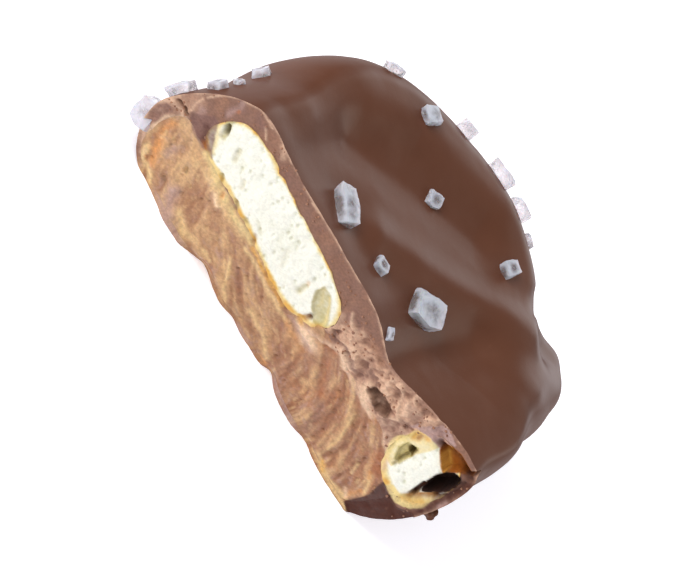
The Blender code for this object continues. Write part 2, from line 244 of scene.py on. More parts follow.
def within(across: Array, up: Array, outline: Path) -> Array:
    """Whether places lie inside a closed outline."""
    odd = np.zeros(across.shape, dtype=bool)
    for (x0, y0), (x1, y1) in zip(outline, (*outline[1:], outline[0])):
        if y0 != y1:
            crossed = (y0 > up) != (y1 > up)
            odd ^= crossed & (across < x0 + (up - y0) / (y1 - y0) * (x1 - x0))
    return odd


def added(x: Array, y: Array, table: Table) -> Array:
    """What a table of soft strokes adds up to at some places, in millimetres."""
    total = np.zeros_like(x)
    for path, half_width, amount in table.values():
        total = total + amount * np.exp(-((off_path(x, y, path) / half_width) ** 2))
    return total


def ramp(values: Array, low: float, high: float) -> Array:
    """Rises smoothly from 0 at low to 1 at high."""
    share = np.clip((values - low) / (high - low), 0.0, 1.0)
    return share * share * (3.0 - 2.0 * share)


# ---------------------------------------------------------------- forms


@dataclass(frozen=True)
class CoatForm:
    """The outer form of the chocolate: the solids' own, with finer unevenness.

    The lobe at the corner reaches a little further than the solids' does.
    """

    plateau: float = 18.9
    widest: float = 9.0
    shoulder_power: float = 2.1
    foot_power: float = 1.7
    blend: float = 1.2
    pole: Pair = (8.0, 8.0)
    segments: int = 400
    waves: Waves = ((0.12, 6.5, 0.0), (0.04, 2.6, 31.0), (0.008, 1.0, 57.0))
    bloom_mm: float = 0.09
    under_rings: int = 34
    foot_rings: int = 22
    shoulder_rings: int = 24
    top_rings: int = 58
    lobes: Mapping[str, Triple] = field(
        default_factory=lambda: {
            "cut": (0.25, -7.5, 28.25),
            "back_left": (-4.0, 11.2, 18.7),
            "back": (4.4, 10.1, 22.2),
            "right": (14.3, 9.2, 14.5),
            "back_right": (23.5, 18.8, 6.2),
            "corner": (25.1, 24.5, 4.4),
        }
    )
    relief: Table = field(
        default_factory=lambda: {
            "over_long_section": (((-21.0, -1.5), (1.0, -1.5)), 6.0, 1.5),
            "over_left_bend": (((-20.5, 0.0), (-19.5, 4.0)), 4.5, 0.9),
            "over_short_section": (((22.5, -3.0), (23.0, 8.0), (21.5, 13.0)), 6.2, 1.8),
            "over_back_rope": (((-18.0, 8.0), (-15.0, 16.0), (-8.0, 22.5), (6.0, 26.0)), 3.4, 0.8),
            "slanting_ridge": (((-2.0, 7.0), (6.0, 11.5), (13.0, 15.6), (18.5, 20.0)), 2.7, 1.1),
            "slanting_hollow": (((-12.0, 12.0), (-3.0, 16.5), (6.0, 21.5)), 3.0, -1.1),
            "hollow_from_cut": (((9.3, -3.0), (11.5, 4.0), (15.0, 11.5)), 3.3, -1.4),
            "corner_lobe": (((25.0, 24.5), (29.0, 27.0)), 5.0, -2.0),
            "notch": (((22.0, 28.0), (21.0, 23.0)), 2.4, -1.7),
        }
    )
    shoulder_width: float = 5.0
    shoulder_strokes: Table = field(
        default_factory=lambda: {
            "right_end": (((28.0, -6.0), (29.0, 6.0)), 6.0, -1.8),
            "left_end": (((-28.0, -6.0), (-27.0, 2.0)), 6.0, 1.2),
            "corner": (((26.0, 21.5), (29.0, 27.0)), 6.0, 3.0),
        }
    )
    foot_width: float = 2.6
    foot_strokes: Table = field(
        default_factory=lambda: {
            "left_end": (((-30.0, -4.0), (-27.0, 0.0)), 7.5, 4.6),
            "right_end": (((30.0, -4.0), (29.0, 4.0)), 6.0, 1.6),
        }
    )

    def outline(self, x: Array, y: Array, lobes: tuple[str, ...] = ()) -> Array:
        """Distance outside the plan outline of some lobes, or all, negative inside."""
        total = 0.0
        for centre_x, centre_y, radius in (self.lobes[name] for name in lobes or self.lobes):
            distance = np.hypot(x - centre_x, y - centre_y) - radius
            total = total + np.exp(-distance / self.blend)
        return -self.blend * np.log(total)

    def top(self, x: Array, y: Array) -> Array:
        """Height of the top away from the shoulder."""
        return self.plateau + added(x, y, self.relief)

    def foot_inset(self, x: Array, y: Array, z: Array | float) -> Array:
        """How far the wall stands in at a height under its widest level."""
        down = np.clip((self.widest - z) / self.widest, 0.0, 1.0)
        width = self.foot_width + added(x, y, self.foot_strokes)
        return width * (1.0 - (1.0 - down**self.foot_power) ** (1.0 / self.foot_power))

    def from_pole(self, angles: Array, distance: Array) -> tuple[Array, Array]:
        """Places at these angles and this far from the pole."""
        return (
            self.pole[0] + distance * np.cos(angles),
            self.pole[1] + distance * np.sin(angles),
        )

    def rim(self, angles: Array, lobes: tuple[str, ...] = ()) -> Array:
        """How far the outline of some lobes, or all, lies from the pole."""
        low, high = np.zeros_like(angles), np.full_like(angles, 60.0)
        for _ in range(40):
            middle = 0.5 * (low + high)
            inside = self.outline(*self.from_pole(angles, middle), lobes) < 0.0
            low, high = np.where(inside, middle, low), np.where(inside, high, middle)
        return low

    def slant(self, angles: Array, edge: Array) -> Array:
        """How much longer a way in from the edge is towards the pole than straight in."""
        around = 0.5 * (np.roll(edge, -1) - np.roll(edge, 1)) / (angles[1] - angles[0])
        return evened(np.hypot(1.0, around / edge), 0.03)

    def rings(self) -> Array:
        """The form's rings of points, from the middle of its underside to its top's.

        Returns:
            Points as rings by segments by three.
        """
        angles = ring_angles(self.segments)
        edge = self.rim(angles)
        x, y = self.from_pole(angles, edge)
        rings = []
        foot = edge - self.foot_inset(x, y, 0.0)
        for share in np.linspace(0.02, 0.985, self.under_rings):
            rings.append(stacked(*self.from_pole(angles, foot * share), 0.0))
        for _, down in reversed([(0.0, 0.0), *quarter(self.foot_rings, self.foot_power)]):
            z = self.widest * (1.0 - down)
            inset = self.foot_inset(x, y, z)
            rings.append(stacked(*self.from_pole(angles, edge - inset), z))
        width = self.shoulder_width + added(x, y, self.shoulder_strokes)
        width = width * self.slant(angles, edge)
        for share, up in quarter(self.shoulder_rings, self.shoulder_power):
            x, y = self.from_pole(angles, edge - share * width)
            z = self.widest + (self.top(x, y) - self.widest) * up
            rings.append(stacked(x, y, z))
        inner = edge - width
        calm = evened(inner, 0.06)
        for share in np.linspace(0.985, 0.015, self.top_rings):
            distance = share * (calm + (inner - calm) * share**4)
            x, y = self.from_pole(angles, distance)
            rings.append(stacked(x, y, self.top(x, y)))
        return self.uneven(np.array(rings))

    def uneven(self, rings: Array) -> Array:
        """Adds the slight waves that dipping by hand leaves.

        Args:
            rings: the smooth form.

        Returns:
            The form with its waves, still level where it stands.
        """
        flat = rings.reshape(-1, 3)
        waves = wave_heights(flat, self.waves)
        moved = flat + grid_normals(rings).reshape(-1, 3) * waves[:, None]
        under = ramp(0.6 - flat[:, 2], 0.0, 0.6)
        bloom = self.bloom_mm * ramp(GRAIN.layers(flat + 11.0, 2.4, 3), 0.15, 0.6)
        moved[:, 2] = moved[:, 2] * (1.0 - under) + (flat[:, 2] + bloom) * under
        return moved.reshape(rings.shape)


def evened(values: Array, share: float) -> Array:
    """Values round a ring, evened out over this share of it each way."""
    reach = int(len(values) * share)
    return sum(np.roll(values, step) for step in range(-reach, reach + 1)) / (2 * reach + 1)


def ring_angles(count: int) -> Array:
    """Even angles round a ring."""
    return np.linspace(0.0, 2.0 * math.pi, count, endpoint=False)


def quarter(rings: int, power: float) -> Iterator[Pair]:
    """Steps round a quarter of a superellipse: share across, share up."""
    for ring in range(1, rings + 1):
        angle = 0.5 * math.pi * ring / rings
        across = 1.0 - max(math.cos(angle), 0.0) ** (2.0 / power)
        yield across, math.sin(angle) ** (2.0 / power)


def stacked(x: Array, y: Array, z: Array | float) -> Array:
    """A ring's points from its coordinates, where z may be one number."""
    return np.stack((x, y, np.broadcast_to(z, x.shape)), axis=1)


def grid_normals(rings: Array) -> Array:
    """Directions straight out of a closed form's rings, from its neighbours' places."""
    around = np.roll(rings, -1, axis=1) - np.roll(rings, 1, axis=1)
    along = np.gradient(rings, axis=0)
    normals = np.cross(around, along)
    length = np.linalg.norm(normals, axis=2, keepdims=True)
    return normals / np.maximum(length, 1e-9)


@dataclass(frozen=True)
class RopeForm:
    """The pretzel rope: its path from the long section's open end, and its section."""

    path: tuple[tuple[float, float, float, float], ...] = (
        (8.5, -9.0, 11.0, 4.0),
        (3.2, -4.8, 11.7, 4.2),
        (-2.4, -0.7, 12.8, 4.35),
        (-9.0, 0.6, 13.8, 4.1),
        (-14.2, 1.3, 14.2, 4.2),
        (-17.6, 5.2, 14.1, 4.1),
        (-17.3, 10.8, 13.8, 4.0),
        (-14.4, 16.0, 13.4, 4.0),
        (-9.8, 20.5, 13.2, 4.1),
        (-3.0, 24.0, 13.0, 4.1),
        (5.5, 24.9, 12.9, 4.1),
        (13.4, 22.6, 12.8, 4.1),
        (19.0, 17.8, 12.9, 4.3),
        (22.2, 11.5, 13.2, 4.8),
        (22.8, 5.0, 13.4, 5.5),
        (22.4, -2.0, 13.5, 5.8),
        (22.1, -9.0, 13.5, 5.8),
    )
    half_width: float = 4.1
    short_lean: float = 0.13
    power: float = 2.2
    sides: int = 72
    steps: int = 12
    knob: Triple = (-17.5, 1.3, 14.3)
    knob_radii: Triple = (4.8, 4.3, 4.4)
    knob_power: float = 2.6

    def line(self) -> Array:
        """The middle line with half heights, close together."""
        points = np.array(self.path)
        padded = np.vstack((2 * points[0] - points[1], points, 2 * points[-1] - points[-2]))
        made = []
        for a, b, c, d in zip(padded, padded[1:], padded[2:], padded[3:]):
            for t in np.arange(self.steps) / self.steps:
                bend = (2 * a - 5 * b + 4 * c - d) * t**2 + (3 * b - a - 3 * c + d) * t**3
                made.append(0.5 * (2 * b + (c - a) * t + bend))
        return np.array([*made, points[-1]])

    def rings(self) -> Array:
        """The rope's rings of points, with the unevenness of baked dough."""
        line = self.line()
        along = np.gradient(line[:, :2], axis=0)
        along /= np.linalg.norm(along, axis=1)[:, None]
        angles = ring_angles(self.sides)
        side = rounded(np.cos(angles), self.power)
        lift = rounded(np.sin(angles), self.power)
        rings = []
        for (x, y, z, half_height), (to_x, to_y) in zip(line, along):
            across, up = self.half_width * side, half_height * lift
            leaned = x + to_y * across - self.lean(x, y) * up
            rings.append(stacked(leaned, y - to_x * across, z + up))
        return baked(np.array(rings))

    def lean(self, x: Array | float, y: Array | float) -> Array | float:
        """How far the rope's section leans to the left, for each millimetre up."""
        near = np.clip((x - 15.0) / 6.0, 0.0, 1.0) * np.clip((13.0 - y) / 8.0, 0.0, 1.0)
        return self.short_lean * near

    def knob_rings(self) -> Array:
        """The lump that fills the left bend's corner."""
        return baked(block_rings(self.knob, self.knob_radii, self.knob_power, 40, self.sides))

    def depth(self, points: Array) -> Array:
        """How deep places lie inside the rope or its knob, about in millimetres."""
        line = self.line()
        best = np.full(len(points), 9.0)
        for x, y, z, half_height in line:
            upright = points[:, 0] + self.lean(x, y) * (points[:, 2] - z)
            across = np.hypot(upright - x, points[:, 1] - y) / self.half_width
            up = np.abs(points[:, 2] - z) / half_height
            best = np.minimum(best, (across**self.power + up**self.power) ** (1 / self.power))
        apart = np.abs(points - np.array(self.knob)) / np.array(self.knob_radii)
        knob = (apart**self.knob_power).sum(axis=1) ** (1 / self.knob_power)
        return (1.0 - np.minimum(best, knob)) * self.half_width


def rounded(values: Array | float, power: float) -> Array:
    """Sines or cosines pushed out to a superellipse's."""
    return np.sign(values) * np.abs(values) ** (2.0 / power)


def block_rings(
    middle: Triple, radii: Triple, power: float, count: int, sides: int, reach: float = 0.49
) -> Array:
    """Rings of points round a block with rounded edges.

    Args:
        middle: of the block.
        radii: half its length, width and height.
        power: 2 for a ball, more for a squarer block.
        count: how many rings.
        sides: points in a ring.
        reach: how near the first and the last ring lie to the poles, 0.5 for right there.

    Returns:
        Points as rings by sides by three.
    """
    angles = ring_angles(sides)
    along, aside = rounded(np.cos(angles), power), rounded(np.sin(angles), power)
    rings = []
    for tilt in np.linspace(-reach * math.pi, reach * math.pi, count):
        out, up = rounded(math.cos(tilt), power), rounded(math.sin(tilt), power)
        x, y = middle[0] + radii[0] * out * along, middle[1] + radii[1] * out * aside
        rings.append(stacked(x, y, float(middle[2] + radii[2] * up)))
    return np.array(rings)


def baked(rings: Array) -> Array:
    """Adds the unevenness of baked dough to rings of points."""
    flat = rings.reshape(-1, 3)
    rough = wave_heights(flat, DOUGH_WAVES)
    return rings + grid_normals(rings) * rough.reshape(rings.shape[:2])[:, :, None]


@dataclass(frozen=True)
class SlabForm:
    """The slab of caramel under the rope."""

    coat: CoatForm
    under_rope: float = 10.3
    rise: float = 1.2
    rounding: float = 1.6
    margins: Path = ((0.7, 1.6), (1.7, 1.2), (4.6, 1.8), (8.0, 2.4))
    thicker: Table = field(
        default_factory=lambda: {"right_end": (((30.0, -6.0), (28.5, 7.0)), 6.0, 1.6)}
    )
    segments: int = 300
    waves: Waves = ((0.30, 3.0, 23.0), (0.16, 1.1, 3.0))
    under_rings: int = 20
    top_rings: int = 34

    def top(self, x: Array, y: Array) -> Array:
        """Height of the slab: low under the rope, and pushed up inside the loop."""
        share = np.clip((-self.coat.outline(x, y) - 6.0) / 4.0, 0.0, 1.0)
        rightwards = np.clip((x + 2.0) / 6.0, 0.0, 1.0)
        right_end = np.clip((x - 17.0) / 8.0, 0.0, 1.0)
        return self.under_rope + self.rise * share * rightwards - 2.0 * right_end

    def rings(self) -> Array:
        """The slab's rings of points, from the middle of its underside to its top's."""
        angles = ring_angles(self.segments)
        lobes = tuple(name for name in self.coat.lobes if name != "corner")
        edge = self.coat.rim(angles, lobes)
        x, y = self.coat.from_pole(angles, edge)
        rings = []
        known = np.array(self.margins)
        thicker = added(x, y, self.thicker)
        first = None
        for z in (self.margins[0][0], *np.arange(1.1, 8.4, 0.6)):
            margin = np.interp(z, known[:, 0], known[:, 1]) + thicker
            distance = edge - self.coat.foot_inset(x, y, z) - margin
            if first is None:
                first = distance
                for share in np.linspace(0.03, 0.98, self.under_rings):
                    rings.append(stacked(*self.coat.from_pole(angles, distance * share), z))
            rings.append(stacked(*self.coat.from_pole(angles, distance), z))
        for across, up in ((0.0, 0.0), *quarter(5, 2.0)):
            inset = known[-1, 1] + thicker + self.rounding * across
            x, y = self.coat.from_pole(angles, edge - inset)
            rings.append(stacked(x, y, self.top(x, y) - self.rounding * (1.0 - up)))
        for share in np.linspace(0.98, 0.03, self.top_rings):
            x, y = self.coat.from_pole(angles, (edge - inset) * share)
            rings.append(stacked(x, y, self.top(x, y)))
        return self.wavy(np.array(rings))

    def wavy(self, rings: Array) -> Array:
        """Lets the slab's faces wander, as soft caramel's do."""
        flat = rings.reshape(-1, 3)
        wander = wave_heights(flat, self.waves)
        lower = 0.2 + 0.8 * ramp(flat[:, 2], 0.9, 2.4)
        out = (wander * lower).reshape(rings.shape[:2])
        return rings + grid_normals(rings) * out[:, :, None]


# ---------------------------------------------------------------- the knife's faces


@dataclass(frozen=True)
class Mark:
    """A mark on the cut: where it runs, its tint and how far it digs in.

    Attributes:
        path: points along the cut and up, in millimetres.
        width: half its width, or the width of a patch's soft edge.
        tint: its colour, or none for a dent alone.
        strength: share of the tint in its middle.
        dent: how deep it digs in, in millimetres, or stands out if negative.
        crisp: 2 for a soft edge, more for a harder one.
        filled: whether the path is the outline of a patch, and not a line.
    """

    LIP = 0.25

    path: Path
    width: float
    tint: Tint | None = None
    strength: float = 0.8
    dent: float = 0.0
    crisp: float = 2.0
    filled: bool = False

    def cover(self, across: Array, up: Array, lip: float = 0.0) -> Array:
        """Share of the mark at some places.

        Args:
            across: places along the cut.
            up: their heights.
            lip: how far inside its outline a patch starts.

        Returns:
            Numbers from 0 to 1, one a place.
        """
        apart = off_path(across, up, (*self.path, self.path[0]) if self.filled else self.path)
        if self.filled:
            apart = np.maximum(np.where(within(across, up, self.path), -apart, apart) + lip, 0.0)
        return np.exp(-((apart / self.width) ** self.crisp))


class KnifeFace:
    """The face that the knife left in one food: its relief and its colours."""

    pitch = 0.15
    reach = (-29.5, 30.5, -1.5, 24.0)
    front = -45.0  # how far in front of the cut the knife's block starts
    wander = 0.35
    calm = 0.65
    calm_from = (18.0, 20.5)  # along the cut, where the marks start to stay put
    ragged_mm = 1.8
    bow_mm = 0.35
    waves_mm = 0.12
    marks: tuple[Mark, ...] = ()
    # where the foot of the cut broke away, or stands out: place, reach and depth
    nicks = (
        (-13.6, 2.6, -0.5),
        (-7.2, 2.3, 1.3),
        (-0.6, 1.2, 0.4),
        (7.0, 1.2, 0.9),
        (11.2, 2.0, -0.35),
        (15.8, 1.3, 0.5),
    )

    def __init__(self, seam: Array) -> None:
        """Keeps where the slab of caramel meets the chocolate.

        Args:
            seam: points along the cut and up.
        """
        self.seam = tuple(map(tuple, seam))

    def bow(self, across: Array, up: Array) -> Array:
        """The long wave of the whole cut, as the solids have it."""
        return self.bow_mm * np.sin(0.21 * across + 0.6) * np.cos(0.08 * up)

    def warped(self, across: Array, up: Array) -> tuple[Array, Array]:
        """Places moved about a little, which makes the marks' edges ragged."""
        points = flat_points(across, up, 40.0)
        wander = self.wander * (1.0 - self.calm * ramp(across, *self.calm_from))
        return (
            across + wander * GRAIN.layers(points, self.ragged_mm, 4, 0.4),
            up + wander * GRAIN.layers(points + 19.0, self.ragged_mm, 4, 0.4),
        )

    def texture(self, across: Array, up: Array) -> Array:
        """The food's own roughness, in millimetres into the body."""
        return np.zeros_like(across)

    def ground(self, across: Array, up: Array) -> Array:
        """The food's own colour at some places, before the marks."""
        return np.zeros((len(across), 3))

    def nicked(self, across: Array, up: Array) -> Array:
        """How far the foot of the cut broke away, alike in every food."""
        torn = sum(
            depth * np.exp(-(((across - place) / reach) ** 2)) for place, reach, depth in self.nicks
        )
        return torn * ramp(-up, -1.9, 0.1)

    def depth(self, across: Array, up: Array) -> Array:
        """How far the face lies behind the cut's plane, in millimetres."""
        moved = self.warped(across, up)
        marks = (*self.marks, *SHARED_MARKS)
        dents = sum(mark.dent * mark.cover(*moved, mark.LIP) for mark in marks if mark.dent)
        own = ramp(off_path(across, up, self.seam), 0.0, 0.7)
        shared = self.waves_mm * GRAIN.layers(flat_points(across, up, 33.0), 1.6, 3, 0.5)
        shared = shared + self.nicked(across, up)
        return self.bow(across, up) + shared + own * (self.texture(across, up) + dents)

    def colours(self, across: Array, up: Array) -> Array:
        """The face's colours at some places, one a row."""
        moved = self.warped(across, up)
        broken = 0.82 + 0.35 * GRAIN.layers(flat_points(across, up, 90.0), 0.7, 3)
        made = self.ground(across, up)
        for mark in (*self.marks, *SHARED_MARKS):
            if mark.tint is not None:
                share = np.clip(mark.strength * mark.cover(*moved) * broken, 0.0, 1.0)
                made = mixed(made, mark.tint, share)
        return made

    def block(self, name: str) -> Object:
        """All that the knife took away, with this face as its back.

        Args:
            name: for the object.

        Returns:
            A closed block.
        """
        left, right, low, high = self.reach
        columns = np.arange(left, right, self.pitch)
        rows = np.arange(low, high, self.pitch)
        across, up = (grid.ravel() for grid in np.meshgrid(columns, rows, indexing="ij"))
        face = np.stack((across, self.depth(across, up), up), axis=1)
        index = np.arange(len(face)).reshape(len(columns), len(rows))
        rim = [(left, low), (columns[-1], low), (columns[-1], rows[-1]), (left, rows[-1])]
        corners = len(face) + np.arange(4)
        points = np.vstack((face, [(x, self.front, z) for x, z in rim]))
        a, b = index[:-1, :-1].ravel(), index[1:, :-1].ravel()
        c, d = index[1:, 1:].ravel(), index[:-1, 1:].ravel()
        quads = np.stack((a, d, c, b), axis=1).tolist()
        sides = [
            [*index[:, 0], corners[1], corners[0]],
            [*index[-1, :], corners[2], corners[1]],
            [*index[::-1, -1], corners[3], corners[2]],
            [*index[0, ::-1], corners[0], corners[3]],
            list(corners),
        ]
        return new_object(name, points, quads + [[int(i) for i in side] for side in sides])


def mixed(colours: Array, tint: Tint, share: Array) -> Array:
    """Colours with a share of a tint laid over them."""
    return colours + (np.array(tint.value) - colours) * share[:, None]


def layered(colours: Array, *layers: tuple[Tint, Array]) -> Array:
    """Colours with tints laid over them one after another, each with its share."""
    for tint, share in layers:
        colours = mixed(colours, tint, share)
    return colours


SHARED_MARKS = (
    # the chunk of chocolate under the left end of the crumb
    Mark(((-24.2, 11.2), (-23.2, 13.9), (-22.5, 13.9), (-21.2, 12.4), (-18.9, 10.4), (-20.6, 10.0),
          (-22.4, 10.0)), 0.26, Tint.MAUVE, 0.95, 0.1, 3, filled=True),
    Mark(((-22.2, 12.0), (-21.2, 10.6)), 0.5, Tint.DARK_CHOCOLATE_AND_SHADE, 0.7, 0.15),
    Mark(((-20.8, 10.5), (-19.9, 10.1)), 0.32, Tint.BAKED, 0.85, 0.3),
    # baked crust and caramel under the long section
    Mark(((-19.4, 10.0), (-16.0, 9.3), (-12.0, 9.2), (-8.4, 9.3)), 0.55, Tint.CRUST_CREAM, 0.6, 0.0,
         3),
    Mark(((-16.6, 10.4), (-16.2, 10.0)), 0.3, Tint.DARK_OLIVE, 0.65, 0.35),
    Mark(((-14.9, 9.3), (-14.6, 9.0)), 0.28, Tint.ORANGE, 0.8, 0.2),
    Mark(((-13.3, 10.5), (-12.8, 10.0)), 0.36, Tint.SCORCHED_AND_SHADE, 0.7, 0.5),
    Mark(((-11.1, 10.5), (-10.7, 10.2)), 0.28, Tint.DARK_OLIVE, 0.6, 0.35),
    Mark(((-9.0, 10.2), (-8.4, 9.7)), 0.26, Tint.BAKED, 0.7, 0.3),
    Mark(((-7.6, 9.1), (-4.6, 8.4), (-2.4, 8.2), (-0.4, 7.9)), 0.36, Tint.CRUST_GOLD, 0.85, 0.0, 3),
    Mark(((-4.6, 8.6), (-4.2, 8.3)), 0.22, Tint.BAKED, 0.8, 0.2),
    Mark(((-2.4, 8.2), (-0.6, 8.0)), 0.22, Tint.BAKED, 0.6, 0.1),
    # the open end of the long section
    Mark(((1.7, 10.4), (1.9, 9.8)), 0.36, Tint.BAKED, 0.85, 0.2, 3),
    Mark(((1.6, 9.4), (2.2, 8.8)), 0.42, Tint.CRUST_GOLD, 0.95, 0.1, 3),
    Mark(((3.4, 11.6), (3.0, 10.4)), 0.3, Tint.CRUST_GOLD, 0.6),
    # the cream ridge between the caramel and the filling
    Mark(((3.2, 9.6), (5.6, 11.0), (7.2, 12.0), (9.2, 11.3), (11.2, 11.5), (13.0, 11.2),
          (15.0, 11.3)), 0.34, Tint.PALE_EDGE, 0.85, -0.22),
    Mark(((7.6, 12.0), (8.6, 11.4)), 0.5, Tint.PEACH, 0.6, -0.1),
    Mark(((12.4, 11.6), (14.2, 11.2)), 0.45, Tint.PEACH, 0.5, -0.1),
    Mark(((17.4, 11.6), (18.6, 10.6), (20.2, 10.2), (21.2, 8.8)), 0.3, Tint.PALE_EDGE, 0.7, -0.1),
    # the short section's crust and hollows; the near black and the darkest browns are painted shade in
    # the hollows
    Mark(((19.6, 10.2), (18.7, 11.8), (18.2, 14.1), (18.6, 16.4), (19.6, 17.2), (20.7, 17.3),
          (20.7, 14.0), (21.0, 10.0)), 0.2, Tint.CRUST_CREAM, 0.9, 0.05, 4, filled=True),
    Mark(((18.9, 15.0), (18.8, 16.2), (19.5, 16.7)), 0.42, Tint.CRUST_GOLD, 0.9, 0.15),
    Mark(((19.0, 16.0), (19.2, 15.4)), 0.24, Tint.BAKED, 0.8, 0.2),
    Mark(((20.5, 10.9), (19.3, 12.5), (19.3, 14.0), (20.2, 14.7), (20.8, 13.5), (21.1, 11.2)), 0.18,
         Tint.OLIVE, 0.85, 0.55, 4, filled=True),
    Mark(((19.8, 14.2), (20.4, 14.5), (20.7, 13.4), (20.5, 12.9), (19.9, 13.3)), 0.2,
         Tint.DARK_OLIVE, 0.95, 0.9, 4, filled=True),
    Mark(((20.6, 12.6), (20.7, 11.4), (21.0, 10.4)), 0.2, Tint.DARK_OLIVE, 0.7, 0.3, 3),
    Mark(((17.6, 15.4), (18.3, 16.7), (19.4, 17.3), (20.8, 17.5), (20.4, 18.6), (21.2, 19.6),
          (19.0, 20.0)), 0.2, Tint.GREY_PINK, 1.2, 0.0, 3, filled=True),
    Mark(((19.2, 18.6), (20.2, 18.4)), 0.5, Tint.MAUVE, 0.6),
    Mark(((20.5, 18.5), (21.2, 17.5), (23.6, 16.2), (24.2, 18.2), (25.2, 19.1), (24.8, 19.7),
          (22.4, 19.7)), 0.22, Tint.BAKED, 1.5, 1.3, 4, filled=True),
    Mark(((22.0, 17.3), (23.6, 16.4)), 0.4, Tint.CRUST_GOLD, 0.8),
    # painted shade along the top of the hollow's wall, under the coat
    Mark(((20.5, 17.9), (21.6, 18.5), (22.8, 18.8), (24.4, 18.9), (25.4, 18.9)), 0.6, Tint.SCORCHED_AND_SHADE,
         1.1, 0.5, 2),
    Mark(((23.3, 7.6), (25.4, 7.5), (26.6, 8.6), (26.9, 10.3), (26.6, 11.6), (26.1, 13.2),
          (25.6, 12.4), (25.2, 9.6), (24.6, 8.6), (23.5, 8.5)), 0.2, Tint.CRUST_CREAM, 0.95, 0.15,
         3, filled=True),
    Mark(((25.2, 8.4), (26.2, 9.4), (26.4, 10.8)), 0.35, Tint.CRUST_GOLD, 0.6, 0.2),
    Mark(((25.3, 9.4), (25.6, 11.2), (26.1, 12.9)), 0.5, Tint.BAKED, 0.95, 0.5),
    # painted shade in the deep groove beside the crumb's right edge
    Mark(((25.1, 10.0), (24.8, 11.2), (24.4, 12.8)), 0.3, Tint.SCORCHED_AND_SHADE, 1.3, 1.0, 4),
    # painted shade filling the inside of the hollow
    Mark(((25.0, 11.9), (24.3, 13.4), (23.9, 15.2), (23.9, 16.5), (24.3, 17.4), (24.9, 17.8),
          (25.4, 17.5), (25.8, 16.4), (25.9, 15.0), (25.8, 13.6), (25.4, 12.4)), 0.2, Tint.CAVITY_SHADE,
         1.8, 3.0, 3, filled=True),
    # painted shade down the right side of the hollow
    Mark(((25.8, 17.9), (26.4, 16.4), (26.5, 15.0), (26.3, 13.8), (26.0, 12.9)), 0.36,
         Tint.SCORCHED_AND_SHADE, 1.1, 0.4, 2),
    # the dark, glossy coat at the right end
    Mark(((23.8, 0.9), (23.9, 4.5), (23.0, 7.3), (24.4, 7.0), (26.2, 6.9), (27.6, 8.4), (30.0, 8.0),
          (28.0, 0.0), (25.0, 0.4)), 0.25, Tint.DARK_CHOCOLATE_AND_SHADE, 1.5, 0.15, 4, filled=True),
    Mark(((27.3, 7.6), (27.5, 9.6), (27.2, 11.6), (26.9, 13.4), (26.7, 15.6), (26.3, 18.4)), 0.6,
         Tint.DARK_CHOCOLATE_AND_SHADE, 1.0, 0.1),
    Mark(((27.6, 12.6), (27.3, 14.0)), 0.3, Tint.GREY_PINK, 0.6),
)


def drag(across: Array, up: Array, size: float = 1.0, drawn: float = 0.17) -> Array:
    """How the knife dragged the caramel: streaks, steeper towards the right.

    Args:
        across: places along the cut.
        up: their heights.
        size: width of the streaks, against the widest.
        drawn: their width against their length.

    Returns:
        Numbers of about -1 to 1, alike along a streak.
    """
    total, weights = 0.0, 0.0
    for middle, reach, slope, curve, layer in (
        (-20.0, 7.0, 0.6, 0.0, 5.0),
        (-4.0, 8.0, 1.35, 0.0, 9.0),
        (16.0, 11.0, 0.0, 0.055, 14.0),
    ):
        weight = np.exp(-(((across - middle) / reach) ** 2))
        sweep = (across + slope * up + curve * (up - 0.5) ** 2) / math.hypot(1.0, slope)
        sweep = sweep + 0.25 * GRAIN.lumps(flat_points(across, up, layer), 2.0)
        points = np.stack((sweep, np.full_like(sweep, layer), drawn * up), axis=1) / size
        streaks = 0.55 * GRAIN.lumps(points, 0.85) + 0.6 * GRAIN.layers(points + 3.0, 0.42, 2)
        total = total + weight * streaks
        weights = weights + weight
    return total / weights


def caramel_colours(across: Array, up: Array) -> Array:
    """Pinkish tan on the left, brown and streaked on the right, as one colour a place."""
    streaks = drag(across, up)
    cloud = GRAIN.layers(flat_points(across, up, 44.0), 1.9, 4, 0.65)
    flecks = drag(across, up, 0.6, 0.5)
    right = ramp(across, -1.0, 9.0)
    return layered(
        np.tile(Tint.CARAMEL.value, (len(across), 1)),
        (Tint.TAN, (1.0 - right) * np.clip(0.1 + 1.1 * cloud, 0.0, 0.7)),
        (Tint.SMEARED, np.clip(0.15 + 0.5 * right - 0.8 * cloud, 0.0, 0.9)),
        (Tint.RUSSET, 0.45 * right * ramp(cloud, 0.0, 0.5)),
        (Tint.TAN, (0.5 + 0.3 * right) * ramp(streaks, 0.05, 0.45)),
        (Tint.DRAGGED, (0.6 + 0.35 * right) * ramp(-streaks, -0.05, 0.35)),
        (Tint.STRAW, 0.3 * ramp(flecks, 0.15, 0.6)),
        (Tint.GREY_PINK, 0.35 * ramp(-flecks, 0.15, 0.6)),
    )


